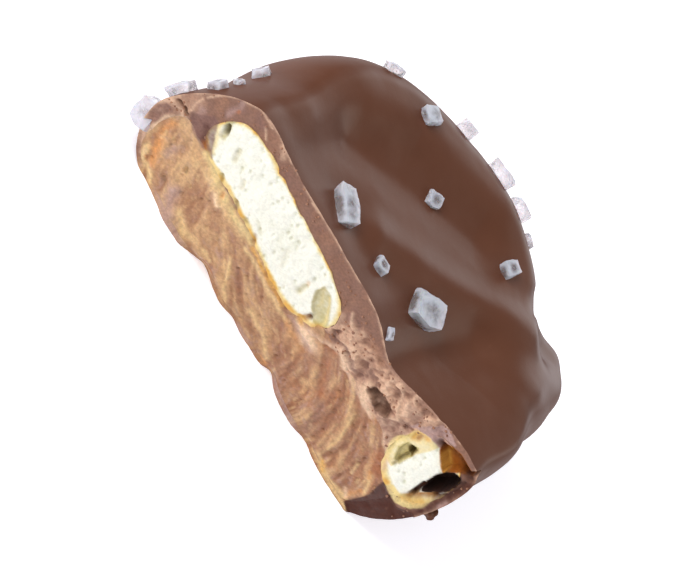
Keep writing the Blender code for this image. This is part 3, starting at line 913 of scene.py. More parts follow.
class ChocolateFace(KnifeFace):
    """Broken milk chocolate: smooth and dense over the rope, crumbly in the loop."""

    marks = (
        # the crumbly filling between the two sections of rope
        Mark(((7.0, 16.9), (9.4, 16.2)), 0.6, Tint.SMEARED, 0.6),
        Mark(((15.5, 11.8), (15.9, 14.6), (17.4, 15.4), (18.2, 14.1), (18.4, 11.0)), 0.3,
             Tint.MAUVE, 0.55, 0.1, 3, filled=True),
        Mark(((15.2, 17.2), (16.6, 17.8), (17.9, 16.6), (17.0, 15.9)), 0.4, Tint.MAUVE, 0.5, 0.15,
             3, filled=True),
        Mark(((9.0, 14.5), (10.6, 14.0)), 0.6, Tint.MAUVE, 0.55, 0.1),
        Mark(((4.5, 12.9), (4.8, 12.5)), 0.4, Tint.MAUVE, 0.85, 0.3),
        Mark(((4.3, 11.6), (4.6, 11.2)), 0.3, Tint.MAUVE, 0.7, 0.2),
        Mark(((4.6, 16.6), (5.0, 16.1)), 0.35, Tint.MAUVE, 0.7, 0.25),
        Mark(((3.2, 16.6), (4.6, 15.4)), 0.22, Tint.PALE_EDGE, 0.8, -0.15),
        Mark(((3.0, 15.2), (3.4, 13.6), (3.6, 12.0)), 0.45, Tint.PALE_EDGE, 0.6, -0.1),
        Mark(((13.4, 16.8), (15.0, 15.6), (16.0, 14.6), (15.6, 13.0)), 0.24, Tint.PALE_EDGE, 0.9,
             -0.25),
        Mark(((11.4, 13.6), (11.6, 12.6), (12.6, 12.2)), 0.35, Tint.PEACH, 0.5, -0.15),
        Mark(((18.4, 19.6), (18.9, 18.2), (19.9, 19.4)), 0.3, Tint.MAUVE, 0.6, 0.2),
        Mark(((14.4, 18.6), (14.8, 17.2)), 0.3, Tint.PALE_EDGE, 0.6, -0.1),
        Mark(((17.6, 19.6), (18.0, 20.2)), 0.2, Tint.PALE_EDGE, 0.7, -0.1),
        # painted shade in the filling's deepest crevice
        Mark(((12.0, 12.9), (12.0, 13.7), (13.2, 14.1), (15.0, 14.2), (15.7, 13.3), (14.4, 12.4)),
             0.25, Tint.DARK_CHOCOLATE_AND_SHADE, 0.85, 0.9, 4, filled=True),
        # painted shade in a crack
        Mark(((12.3, 13.8), (12.6, 13.2)), 0.3, Tint.CRACK_SHADE, 0.8, 0.3),
        Mark(((5.2, 11.9), (6.6, 13.0), (7.8, 12.9), (8.9, 12.5), (10.6, 12.9)), 0.36, Tint.MAUVE,
             0.8, 0.3),
        # pale, broken edges at the left end
        Mark(((-25.5, 14.6), (-25.1, 17.2), (-24.2, 19.2), (-22.6, 20.6), (-19.8, 20.8)), 0.16,
             Tint.PALE_EDGE, 0.75),
        Mark(((-25.6, 13.8), (-25.0, 12.0), (-24.6, 11.2)), 0.16, Tint.PALE_EDGE, 0.7),
        Mark(((-23.6, 18.8), (-23.2, 17.8), (-22.8, 16.0)), 0.4, Tint.GREY_PINK, 0.7, 0.1),
        Mark(((-22.9, 17.6), (-22.7, 17.2)), 0.22, Tint.RUSSET, 0.85, 0.1),
        Mark(((-24.6, 17.0), (-23.4, 15.0)), 0.5, Tint.SMEARED, 0.5),
        Mark(((-24.4, 13.0), (-23.8, 12.0)), 0.5, Tint.GREY_PINK, 0.6),
        Mark(((-20.1, 19.9), (-18.8, 18.9)), 0.16, Tint.PALE_EDGE, 0.85, -0.1),
        Mark(((-17.2, 20.5), (-16.3, 19.9)), 0.42, Tint.PALE_EDGE, 0.65, -0.1),
        Mark(((-21.6, 20.0), (-20.4, 19.6)), 0.5, Tint.MAUVE, 0.6),
        Mark(((-14.2, 19.6), (-13.6, 18.2)), 0.5, Tint.MAUVE, 0.4),
        Mark(((-10.4, 20.1), (-7.0, 20.3), (-3.0, 20.5), (0.6, 20.6), (3.0, 20.1)), 0.2,
             Tint.PALE_EDGE, 0.5, -0.05),
        # painted shade in a crack at the left end
        Mark(((-26.2, 10.4), (-25.2, 10.7), (-24.4, 10.6)), 0.17, Tint.CRACK_SHADE, 0.9, 0.7, 3),
        Mark(((-26.8, 9.6), (-25.4, 9.9), (-24.2, 10.1)), 0.3, Tint.PALE_EDGE, 0.7, -0.15),
        Mark(((-26.8, 9.0), (-27.0, 7.2), (-26.3, 5.2), (-25.0, 3.9), (-23.6, 2.7), (-22.0, 1.6)),
             0.26, Tint.PALE_EDGE, 0.85, -0.05),
        Mark(((-24.4, 9.6), (-24.8, 7.6), (-24.6, 5.4), (-24.2, 3.8)), 0.26, Tint.PEACH, 0.65,
             -0.15),
        Mark(((-26.4, 8.6), (-25.5, 8.7), (-25.1, 6.4), (-25.1, 4.9), (-26.0, 5.8)), 0.25,
             Tint.MAUVE, 0.75, 0.1, 3, filled=True),
        Mark(((-24.7, 9.0), (-24.3, 7.4)), 0.2, Tint.DARK_CHOCOLATE_AND_SHADE, 0.45, 0.15),
        # the base, where the caramel is smeared over the chocolate
        Mark(((-21.0, 1.2), (-18.6, 0.4)), 0.35, Tint.STRAW, 0.8),
        Mark(((-17.0, 1.0), (-14.6, 0.2), (-11.4, 0.2)), 0.9, Tint.GREY_PINK, 0.85, -0.15),
        Mark(((-11.6, 0.9), (-9.8, 1.2)), 0.4, Tint.PALE_EDGE, 0.7),
        Mark(((8.0, 0.7), (10.6, 0.9), (13.0, 0.3)), 0.75, Tint.GREY_PINK, 0.9, -0.15),
        Mark(((9.0, 1.2), (12.0, 1.2)), 0.3, Tint.PEACH, 0.5),
        Mark(((0.4, 0.2), (2.6, 0.4)), 0.4, Tint.GREY_PINK, 0.7),
        Mark(((5.6, 0.5), (6.6, 0.7)), 0.3, Tint.ORANGE, 0.7),
        Mark(((17.0, 0.6), (18.6, 0.9), (21.0, 0.4), (24.4, 0.4)), 0.4, Tint.STRAW, 0.85),
        Mark(((18.6, 1.1), (19.4, 0.6)), 0.26, Tint.CRUST_GOLD, 0.9),
        # painted shade in a crack at the right end's top
        Mark(((25.5, 21.6), (25.2, 20.4), (25.0, 19.4)), 0.26, Tint.CRACK_SHADE, 0.95, 0.9, 3),
    )

    def __init__(self, seam: Array, outline: Array) -> None:
        """Keeps the coat's own outline on the cut.

        Args:
            seam: where the slab of caramel meets the chocolate.
            outline: the coat's, as points along the cut and up.
        """
        super().__init__(seam)
        self.edge = tuple(map(tuple, outline))

    def crumbly(self, across: Array, up: Array) -> Array:
        """Where the chocolate broke into chips instead of cutting clean, from 0 to 1."""
        path = ((4.6, 12.6), (5.2, 15.6), (9.0, 15.8), (14.5, 17.2), (18.4, 18.8), (18.4, 11.4))
        loop = Mark(path, 1.1, crisp=3, filled=True)
        ends = Mark(((-25.6, 13.0), (-26.2, 7.0), (-24.0, 3.0)), 1.3, crisp=4)
        return np.maximum(loop.cover(across, up), 0.6 * ends.cover(across, up))

    def chipped(self, across: Array, up: Array) -> Array:
        """Relief of the broken chocolate, of about -1 to 1 and deeper when more."""
        points = flat_points(across, up, 3.0)
        points = points + 0.2 * GRAIN.lumps(points, 0.7)[:, None]
        large, _ = GRAIN.chips(points, 2.4, 0.8)
        middle, _ = GRAIN.chips(points + 5.0, 1.15, 0.8)
        small, _ = GRAIN.chips(points + 9.0, 0.55, 0.8)
        return 0.45 * large + 0.35 * middle + 0.27 * small

    def texture(self, across: Array, up: Array) -> Array:
        """Chips where it is crumbly, and fine drag marks where it is dense."""
        crumbly = self.crumbly(across, up)
        dense = GRAIN.layers(flat_points(across + 0.5 * up, 0.4 * up, 8.0), 0.7, 3)
        inner = ramp(off_path(across, up, self.edge), 0.1, 0.9)
        chips = crumbly * (0.15 + 0.85 * inner) * 0.42 * self.chipped(across, up)
        return chips + (1.0 - crumbly) * 0.05 * dense - 0.05

    def ground(self, across: Array, up: Array) -> Array:
        """Brown, paler where it is chipped and along its outer edge, with painted shade where the chips
        lie deep and a painted highlight where they stand out.
        """
        points = flat_points(across, up, 21.0)
        relief = self.chipped(across, up)
        crumbly = self.crumbly(across, up)
        made = layered(
            np.tile(Tint.CUT_CHOCOLATE.value, (len(across), 1)),
            (Tint.SMEARED, 0.4 * ramp(GRAIN.layers(points, 2.0, 4, 0.6), -0.3, 0.6)),
            (Tint.MAUVE, 0.35 * ramp(GRAIN.layers(points + 5.0, 1.1, 3), 0.1, 0.6)),
            (Tint.CHIPPED, 0.92 * crumbly),
            # painted shade where the chips lie deep, painted highlight where they stand out
            (Tint.HOLLOWED, crumbly * ramp(relief, 0.0, 0.45) * 0.85),
            (Tint.PALE_EDGE, crumbly * ramp(-relief, 0.12, 0.5) * 0.7),
        )
        base = ramp(1.5 - up, 0.0, 0.5) * ramp(across, -22.5, -20.5) * ramp(24.6 - across, 0.0, 0.8)
        made = made + (caramel_colours(across, up) - made) * (0.9 * base)[:, None]
        edge = off_path(across, up, self.edge)
        line = np.exp(-((edge / 0.22) ** 2)) * ramp(GRAIN.layers(points + 2.0, 1.6, 3), -0.3, 0.3)
        return mixed(made, Tint.PALE_EDGE, 0.6 * line * ramp(up, 1.0, 3.0))


class CaramelFace(KnifeFace):
    """Caramel that the knife dragged and smeared with chocolate."""

    reach = (-27.0, 29.0, 0.0, 13.5)
    marks = (
        # left end
        Mark(((-23.6, 9.2), (-20.0, 8.6), (-18.4, 5.0)), 1.7, Tint.TAN, 0.6),
        Mark(((-23.9, 7.8), (-23.3, 5.2), (-22.0, 3.4)), 0.55, Tint.ORANGE, 0.75),
        Mark(((-22.6, 5.2), (-21.2, 3.2), (-20.6, 2.2)), 0.55, Tint.ORANGE, 0.85),
        Mark(((-23.2, 6.4), (-22.9, 5.0)), 0.2, Tint.STRAW, 0.6),
        Mark(((-22.6, 2.6), (-21.4, 1.4), (-19.4, 0.8)), 0.4, Tint.STRAW, 0.85),
        Mark(((-18.8, 6.4), (-18.5, 6.0)), 0.24, Tint.DARK_OLIVE, 0.45, 0.3),
        Mark(((-18.8, 2.8), (-18.4, 2.4)), 0.26, Tint.DARK_OLIVE, 0.4, 0.25),
        Mark(((-21.2, 6.2), (-20.8, 4.6)), 0.4, Tint.GREY_PINK, 0.65, 0.1),
        Mark(((-21.4, 1.9), (-21.0, 1.5)), 0.22, Tint.RUSSET, 0.85, 0.2),
        # middle, smeared with chocolate
        Mark(((-17.0, 3.0), (-15.8, 1.4), (-14.8, 0.8)), 0.8, Tint.GREY_PINK, 0.85),
        Mark(((-16.6, 4.0), (-16.2, 3.0)), 0.3, Tint.MAUVE, 0.4, 0.1),
        Mark(((-14.4, 2.2), (-12.4, 1.4), (-10.6, 2.0)), 0.6, Tint.STRAW, 0.7),
        Mark(((-9.2, 2.4), (-7.8, 2.3)), 0.3, Tint.STRAW, 0.65),
        Mark(((-7.9, 1.4), (-6.6, 1.0)), 0.4, Tint.RUSSET, 0.85, 0.25),
        Mark(((-7.6, 5.4), (-5.8, 3.8), (-4.5, 2.0), (-2.8, 0.6)), 0.22, Tint.STRAW, 0.7, -0.12),
        Mark(((-5.3, 5.6), (-2.8, 4.9), (-0.1, 4.6), (2.3, 5.0)), 0.26, Tint.TAN, 0.7, -0.1),
        Mark(((-5.4, 5.0), (-3.6, 3.6), (-1.4, 2.6), (0.6, 1.8)), 0.6, Tint.DRAGGED, 0.8, 0.12),
        Mark(((12.4, 5.0), (13.4, 3.2), (14.2, 1.6)), 0.6, Tint.MAUVE, 0.5, 0.08),
        Mark(((0.8, 1.7), (2.2, 2.2)), 0.5, Tint.DRAGGED, 0.6, 0.12),
        Mark(((-0.8, 3.4), (2.0, 2.9), (5.0, 1.7)), 0.4, Tint.STRAW, 0.6, -0.1),
        Mark(((4.8, 1.0), (5.6, 0.8)), 0.3, Tint.ORANGE, 0.85),
        # under the long section of rope
        Mark(((-15.0, 8.2), (-13.8, 7.9)), 0.4, Tint.PEACH, 0.85, -0.1),
        Mark(((-17.6, 8.6), (-12.6, 8.4), (-9.4, 8.6)), 0.5, Tint.STRAW, 0.6),
        Mark(((-8.0, 8.2), (-3.0, 7.4), (1.6, 7.0)), 0.35, Tint.STRAW, 0.75),
        Mark(((2.6, 8.4), (4.0, 9.0), (5.4, 8.6), (4.4, 7.8)), 0.7, Tint.PEACH, 0.75, -0.12, 2,
             filled=True),
        Mark(((1.4, 8.0), (3.0, 7.6), (5.8, 7.9)), 0.3, Tint.GREY_PINK, 0.6, 0.1),
        Mark(((1.8, 7.0), (3.6, 6.8), (5.4, 6.8)), 0.4, Tint.ORANGE, 0.4),
        # under the loop's filling
        Mark(((5.6, 10.4), (6.8, 11.2)), 0.25, Tint.RUSSET, 0.7, 0.15),
        Mark(((7.2, 9.6), (8.6, 8.2), (10.2, 6.6), (11.0, 5.6)), 0.42, Tint.RUSSET, 0.65, 0.12),
        Mark(((8.2, 7.0), (9.4, 5.6), (9.0, 4.6)), 0.55, Tint.TAN, 0.8, -0.08),
        Mark(((9.6, 9.2), (10.6, 7.8)), 0.3, Tint.TAN, 0.6, -0.08),
        Mark(((12.4, 8.6), (13.4, 6.0), (13.8, 3.2)), 0.32, Tint.DRAGGED, 0.7, 0.14),
        # the knife's curved drag marks
        Mark(((13.2, 9.6), (14.8, 7.5), (16.0, 5.4), (16.9, 3.0), (17.3, 0.8)), 0.5, Tint.TAN, 0.55,
             -0.14),
        Mark(((14.0, 9.2), (15.3, 7.2), (16.4, 5.0), (17.1, 3.0)), 0.2, Tint.STRAW, 0.6, -0.1),
        Mark(((14.9, 9.6), (16.4, 7.2), (17.5, 5.0), (18.1, 2.6)), 0.36, Tint.DRAGGED, 0.75, 0.16),
        Mark(((16.6, 7.6), (17.9, 5.6), (18.8, 3.6)), 0.22, Tint.TAN, 0.6, -0.1),
        Mark(((13.2, 6.8), (14.4, 4.6), (15.5, 1.6)), 0.34, Tint.DRAGGED, 0.7, 0.14),
        Mark(((14.6, 5.6), (15.5, 3.8), (16.2, 1.8)), 0.24, Tint.TAN, 0.6, -0.1),
        Mark(((18.6, 8.6), (19.6, 6.8), (20.2, 5.0)), 0.4, Tint.DRAGGED, 0.6, 0.1),
        Mark(((18.2, 4.2), (19.4, 3.0)), 0.5, Tint.TAN, 0.7, -0.08),
        Mark(((19.8, 5.6), (20.6, 4.2)), 0.2, Tint.STRAW, 0.6, -0.08),
        # right end
        Mark(((19.6, 9.2), (20.6, 8.0), (21.4, 7.2)), 0.8, Tint.RUSSET, 0.75),
        Mark(((21.2, 9.2), (22.4, 7.8)), 0.2, Tint.PALE_EDGE, 0.8, -0.1),
        Mark(((21.6, 6.4), (22.4, 5.4), (23.2, 4.2)), 0.3, Tint.STRAW, 0.8),
        Mark(((21.2, 6.6), (21.8, 6.0)), 0.25, Tint.ORANGE, 0.8),
        Mark(((22.9, 3.8), (22.8, 2.2), (23.4, 1.2)), 0.3, Tint.ORANGE, 0.6),
        Mark(((17.4, 1.2), (18.8, 1.0), (20.6, 0.7), (22.6, 1.1), (24.0, 1.0)), 0.35, Tint.STRAW,
             0.85),
        Mark(((18.5, 1.3), (19.4, 0.8)), 0.26, Tint.CRUST_GOLD, 0.9),
        Mark(((22.2, 2.0), (23.0, 1.5)), 0.3, Tint.PEACH, 0.6),
    )

    def texture(self, across: Array, up: Array) -> Array:
        """Drag marks that curve down to the right, with pits."""
        lumps = GRAIN.layers(flat_points(across, up, 33.0), 1.6, 3, 0.5)
        _, near = GRAIN.chips(flat_points(across, up, 61.0), 1.3)
        return 0.14 * lumps - 0.16 * drag(across, up) + 0.2 * ramp(0.22 - near, 0.0, 0.16)

    def ground(self, across: Array, up: Array) -> Array:
        """Pinkish tan, browner and more streaked to the right."""
        return caramel_colours(across, up)


class PretzelFace(KnifeFace):
    """White crumb with fine pores, and the brown crust round it."""

    reach = (-24.0, 28.5, 6.0, 21.0)
    pitch = 0.13
    marks = (
        # long section
        Mark(((-22.0, 16.4), (-21.2, 14.6), (-20.6, 13.4)), 0.42, Tint.OLIVE, 0.85, 0.35, 3),
        Mark(((-21.5, 15.0), (-20.9, 14.1)), 0.3, Tint.DARK_OLIVE, 0.95, 0.8, 3),
        Mark(((-22.3, 14.2), (-21.0, 12.8), (-19.4, 11.2)), 0.36, Tint.CRUST_CREAM, 0.85),
        Mark(((-18.6, 15.0), (-17.6, 13.2)), 0.3, Tint.OLIVE, 0.5, 0.2),
        Mark(((-15.2, 13.2), (-14.7, 12.3)), 0.26, Tint.OLIVE, 0.35, 0.15),
        Mark(((-10.4, 11.8), (-9.0, 11.0)), 0.3, Tint.OLIVE, 0.25, 0.1),
        Mark(((-6.2, 13.4), (-4.6, 11.6)), 0.35, Tint.OLIVE, 0.16, 0.1),
        Mark(((-1.7, 12.7), (-1.3, 11.1)), 0.3, Tint.OLIVE, 0.75, 0.3),
        Mark(((-2.0, 13.4), (-1.7, 12.9)), 0.22, Tint.CRUST_GOLD, 0.4, 0.1),
        Mark(((-0.8, 15.2), (0.4, 15.0), (2.2, 13.4), (3.3, 12.2), (3.4, 11.0), (2.4, 10.8),
              (1.0, 12.0), (-0.6, 13.6)), 0.2, Tint.OLIVE, 0.8, 0.3, 4, filled=True),
        Mark(((0.8, 14.6), (2.6, 12.9), (3.2, 11.8)), 0.2, Tint.CRUST_CREAM, 0.7, -0.1),
        Mark(((-0.4, 14.6), (1.2, 12.8)), 0.2, Tint.CRUST_CREAM, 0.4, 0.1),
        Mark(((1.6, 11.1), (1.9, 10.5)), 0.32, Tint.DARK_OLIVE, 0.95, 0.8, 3),
    )

    def __init__(self, seam: Array, rope: RopeForm) -> None:
        """Keeps the rope's form, to tell crust from crumb.

        Args:
            seam: where the slab of caramel meets the chocolate.
            rope: the form.
        """
        super().__init__(seam)
        self.rope = rope

    def crumb(self, across: Array, up: Array) -> Array:
        """Relief of the torn crumb, drawn out slantwise by the knife, deeper when more."""
        drawn = flat_points(0.85 * (across + 0.6 * up), 0.45 * (up - 0.6 * across), 6.0)
        _, near = GRAIN.chips(drawn, 0.75)
        return 0.8 * GRAIN.layers(drawn + 15.0, 1.3, 4, 0.6) + 0.7 * ramp(0.36 - near, 0.0, 0.3)

    def texture(self, across: Array, up: Array) -> Array:
        """Fine pores, with a few larger ones."""
        fine = GRAIN.lumps(flat_points(across, up, 2.0), 0.3)
        return 0.2 * self.crumb(across, up) + 0.03 * fine - 0.12

    def ground(self, across: Array, up: Array) -> Array:
        """Crumb inside, cream and gold along the crust, with painted shade, greyer and more olive, where
        the crumb lies deeper.
        """
        points = flat_points(across, up, 6.0)
        depth = self.rope.depth(flat_points(across, up, 0.0))
        ragged = depth + 0.2 * GRAIN.layers(points + 3.0, 0.8, 3)
        deep = self.crumb(across, up)
        under = 0.35 * ramp(12.5 - up, 0.0, 2.0)
        gold = ramp(GRAIN.layers(points + 27.0, 1.5, 2), -0.15, 0.35)
        return layered(
            np.tile(Tint.CRUMB.value, (len(across), 1)),
            # painted shade: greyer and more olive where the crumb lies deeper
            (Tint.CRUMB_SHADE, 0.8 * ramp(deep, 0.1, 0.7)),
            (Tint.OLIVE, 0.2 * ramp(deep, 0.5, 1.1)),
            (Tint.CRUST_CREAM, 0.9 * ramp(0.5 + under - ragged, 0.0, 0.4)),
            (Tint.CRUST_GOLD, (0.3 + 0.6 * gold) * ramp(0.2 + under - ragged, 0.0, 0.25)),
        )


# ---------------------------------------------------------------- meshes


def linked(name: str, data: ID) -> Object:
    """A new object with this data, in the scene."""
    made = bpy.data.objects.new(name, data)
    bpy.context.scene.collection.objects.link(made)
    return made


def removed(*pieces: Object) -> None:
    """Removes helper objects that have done their work."""
    for piece in pieces:
        bpy.data.objects.remove(piece)


def new_object(name: str, points: Array, faces: list[list[int]]) -> Object:
    """An object from points in millimetres from the cut's middle.

    Args:
        name: for the object and its mesh.
        points: one a row.
        faces: indices of each face's points.

    Returns:
        The object, linked to the scene, at the origin of the part.
    """
    mesh = bpy.data.meshes.new(name)
    mesh.from_pydata(((np.asarray(points) - ORIGIN) * MM).tolist(), [], faces)
    mesh.validate()
    return linked(name, mesh)


def lofted(name: str, rings: Array) -> Object:
    """A closed form from rings of points, with a point in the middle of each end."""
    count, sides, _ = rings.shape
    points = np.vstack((rings.reshape(-1, 3), rings[0].mean(axis=0), rings[-1].mean(axis=0)))
    index = np.arange(count * sides).reshape(count, sides)
    after = np.roll(index, -1, axis=1)
    quads = np.stack((index[:-1], after[:-1], after[1:], index[1:]), axis=-1).reshape(-1, 4)
    bottom, top = count * sides, count * sides + 1
    caps = [[bottom, int(b), int(a)] for a, b in zip(index[0], after[0])]
    caps += [[top, int(a), int(b)] for a, b in zip(index[-1], after[-1])]
    made = new_object(name, points, quads.tolist() + caps)
    if signed_volume(made) < 0.0:
        made.data.flip_normals()
    return made


def signed_volume(piece: Object) -> float:
    """Volume inside a closed mesh, negative if it is inside out."""
    corners = triangles(piece)
    across = np.cross(corners[:, 1], corners[:, 2])
    return float(np.einsum("ij,ij->i", corners[:, 0], across).sum()) / 6.0


def triangles(piece: Object) -> Array:
    """A mesh's triangles as corners."""
    mesh = piece.data
    mesh.calc_loop_triangles()
    places = np.empty(len(mesh.vertices) * 3)
    mesh.vertices.foreach_get("co", places)
    index = np.empty(len(mesh.loop_triangles) * 3, dtype=np.int32)
    mesh.loop_triangles.foreach_get("vertices", index)
    return places.reshape(-1, 3)[index].reshape(-1, 3, 3)


def places_of(mesh: Mesh) -> Array:
    """A mesh's points in millimetres from the cut's middle, one a row."""
    places = np.empty(len(mesh.vertices) * 3)
    mesh.vertices.foreach_get("co", places)
    return places.reshape(-1, 3) / MM + ORIGIN


class Join(Enum):
    """How a Boolean puts two solids together."""

    ADD = "UNION"
    CUT = "DIFFERENCE"


def boolean(target: Object, join: Join, *others: Object) -> None:
    """Joins or cuts the target with other closed solids, and makes that its mesh.

    Args:
        target: changed in place.
        join: which of the two.
        others: left as they are.
    """
    for other in others:
        step = target.modifiers.new(other.name, "BOOLEAN")
        step.operation = join.value
        step.solver = "MANIFOLD"
        step.object = other
        applied(target)


def applied(piece: Object) -> None:
    """Makes an object's modifiers part of its mesh, and removes them."""
    graph = bpy.context.evaluated_depsgraph_get()
    mesh = bpy.data.meshes.new_from_object(piece.evaluated_get(graph))
    piece.modifiers.clear()
    piece.data = mesh


def store(mesh: Mesh, name: str, values: Array) -> None:
    """Keeps a colour for each of a mesh's points, under a name that materials read."""
    attribute = mesh.color_attributes.new(name, "FLOAT_COLOR", "POINT")
    rows = np.hstack((values, np.ones((len(values), 1)))).astype(np.float32)
    attribute.data.foreach_set("color", rows.ravel())


def settle(piece: Object, name: str, *nodes: str, slot: str | None = None) -> None:
    """Names a finished piece, ties it to the part and hides the solids that it replaces.

    Args:
        piece: the finished mesh.
        name: for the piece.
        nodes: the solids that it replaces.
        slot: a material slot of the part; not used.
    """
    piece.name = piece.data.name = name
    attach(piece, BODY)
    if nodes:
        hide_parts(*nodes)
    piece.data.calc_loop_triangles()
    LOG.info("%s: %d triangles", name, len(piece.data.loop_triangles))


# ---------------------------------------------------------------- node trees


Value = Any  # a number, a colour, a vector, a socket or a Signal


class Wiring:
    """A node tree that is being built."""

    def __init__(self, tree: NodeTree) -> None:
        """Keeps the tree."""
        self.tree = tree

    def node(
        self,
        kind: str,
        settings: Mapping[str, Any] | None = None,
        values: Mapping[Any, Value] | None = None,
    ) -> Node:
        """Adds a node.

        Args:
            kind: the node's type.
            settings: its own settings, set first.
            values: what goes into its sockets, by name, identifier or number.

        Returns:
            The node.
        """
        made = self.tree.nodes.new(kind)
        for name, value in (settings or {}).items():
            setattr(made, name, value)
        for key, value in (values or {}).items():
            socket = made.inputs[key] if isinstance(key, int) else named(made.inputs, key)
            self.feed(socket, value)
        return made

    def step(self, kind: str, source: Value, **values: Value) -> NodeSocket:
        """Adds a node that works on a geometry.

        Args:
            kind: the node's type, without the words that all of them start with.
            source: the geometry's socket.
            values: for its other sockets, by name with underscores for spaces.

        Returns:
            The socket that gives the new geometry.
        """
        rest = {key.replace("_", " "): value for key, value in values.items()}
        return self.node("GeometryNode" + kind, None, {0: source, **rest}).outputs[0]

    def feed(self, socket: NodeSocket, value: Value) -> None:
        """Links a socket or a signal to an input, or sets the input's own value."""
        if isinstance(value, Signal):
            value = value.socket
        if isinstance(value, NodeSocket):
            self.tree.links.new(value, socket)
        else:
            socket.default_value = value


def named(sockets: Any, key: str) -> NodeSocket:
    """The socket of a list with this identifier, or else this name."""
    exact = next((socket for socket in sockets if socket.identifier == key), None)
    return exact or next(socket for socket in sockets if socket.name == key)


class Signal:
    """A number that varies over a surface. Operators on it add Math nodes."""

    def __init__(self, wiring: Wiring, socket: NodeSocket) -> None:
        """Keeps the tree and the socket that gives the number."""
        self.wiring = wiring
        self.socket = socket

    def maths(self, operation: str, *values: Value) -> "Signal":
        """Adds one Math node.

        Args:
            operation: of the node.
            values: its inputs, in order.

        Returns:
            What comes out.
        """
        node = self.wiring.node("ShaderNodeMath", {"operation": operation}, dict(enumerate(values)))
        return Signal(self.wiring, node.outputs[0])

    def __add__(self, other: Value) -> "Signal":
        """This and another, added."""
        return self.maths("ADD", self, other)

    def __sub__(self, other: Value) -> "Signal":
        """This less another."""
        return self.maths("SUBTRACT", self, other)

    def __rsub__(self, other: Value) -> "Signal":
        """Another less this."""
        return self.maths("SUBTRACT", other, self)

    def __mul__(self, other: Value) -> "Signal":
        """This times another."""
        return self.maths("MULTIPLY", self, other)

    __radd__ = __add__
    __rmul__ = __mul__

    def between(self, low: float, high: float, to_low: float = 0.0, to_high: float = 1.0) -> "Signal":
        """Moves a range smoothly to another, and stops at its ends.

        Args:
            low: where the output starts to change.
            high: where it stops.
            to_low: the output up to low.
            to_high: the output from high.

        Returns:
            The new signal.
        """
        node = self.wiring.node(
            "ShaderNodeMapRange",
            {"interpolation_type": "SMOOTHSTEP"},
            {"Value": self, "From Min": low, "From Max": high, "To Min": to_low, "To Max": to_high},
        )
        return Signal(self.wiring, node.outputs["Result"])


class Finish(Wiring):
    """A Principled material that is being built."""

    def __init__(self, name: str, **constants: Any) -> None:
        """Starts the material.

        Args:
            name: of the material.
            constants: what is the same all over it, by the shader's socket names, with
                underscores for spaces.
        """
        self.material = bpy.data.materials.new(name)
        self.material.use_nodes = True
        super().__init__(self.material.node_tree)
        self.shader = next(n for n in self.tree.nodes if n.type == "BSDF_PRINCIPLED")
        for key, value in constants.items():
            self.feed(self.shader.inputs[key.replace("_", " ")], value)
        self.places = self.node("ShaderNodeTexCoord").outputs["Object"]

    def noise(
        self, size_mm: float, detail: float = 3.0, roughness: float = 0.55, shift: float = 0.0
    ) -> Signal:
        """Cloudy noise over the piece.

        Args:
            size_mm: width of its lumps.
            detail: how many finer sizes.
            roughness: how strong those are.
            shift: moves the noise, for another pattern.

        Returns:
            Numbers from 0 to 1.
        """
        node = self.node(
            "ShaderNodeTexNoise",
            {"noise_dimensions": "4D"},
            {
                "Vector": self.places,
                "W": shift,
                "Scale": 1.0 / (size_mm * MM),
                "Detail": detail,
                "Roughness": roughness,
            },
        )
        return Signal(self, node.outputs[0])

    def kept(self, name: str) -> Node:
        """The node that reads what the piece keeps under a name."""
        return self.node("ShaderNodeAttribute", {"attribute_name": name})

    def paint(self) -> NodeSocket:
        """The colour kept on the piece's points."""
        return self.kept("paint").outputs["Color"]

    def blend(self, first: Value, second: Value, share: Value, mode: str = "MIX") -> NodeSocket:
        """Mixes two colours.

        Args:
            first: where the share is 0.
            second: where it is 1.
            share: how much of the second.
            mode: how they mix.

        Returns:
            The mixed colour's socket.
        """
        colours = [c if isinstance(c, NodeSocket) else (*c, 1.0) for c in (first, second)]
        node = self.node(
            "ShaderNodeMix",
            {"data_type": "RGBA", "blend_type": mode},
            {"Factor_Float": share, "A_Color": colours[0], "B_Color": colours[1]},
        )
        return named(node.outputs, "Result_Color")

    def cover(self, second: dict[str, Value], share: Signal) -> None:
        """Lays a second principled shader over a share of the surface.

        Args:
            second: its sockets' values.
            share: how much of it shows, from 0 to 1.
        """
        over = self.node("ShaderNodeBsdfPrincipled", None, second)
        values = {0: share, 1: self.shader.outputs[0], 2: over.outputs[0]}
        both = self.node("ShaderNodeMixShader", None, values)
        out = next(n for n in self.tree.nodes if n.type == "OUTPUT_MATERIAL")
        self.feed(out.inputs["Surface"], both.outputs[0])

    def bumps(self, height: Signal, depth_mm: float, strength: float = 1.0) -> None:
        """Roughens the surface's shading by a height of 0 to 1.

        Args:
            height: over the surface.
            depth_mm: how deep a height of 1 is.
            strength: share of the effect.
        """
        node = self.node(
            "ShaderNodeBump", None, {"Height": height, "Distance": depth_mm * MM, "Strength": strength}
        )
        self.feed(self.shader.inputs["Normal"], node.outputs["Normal"])


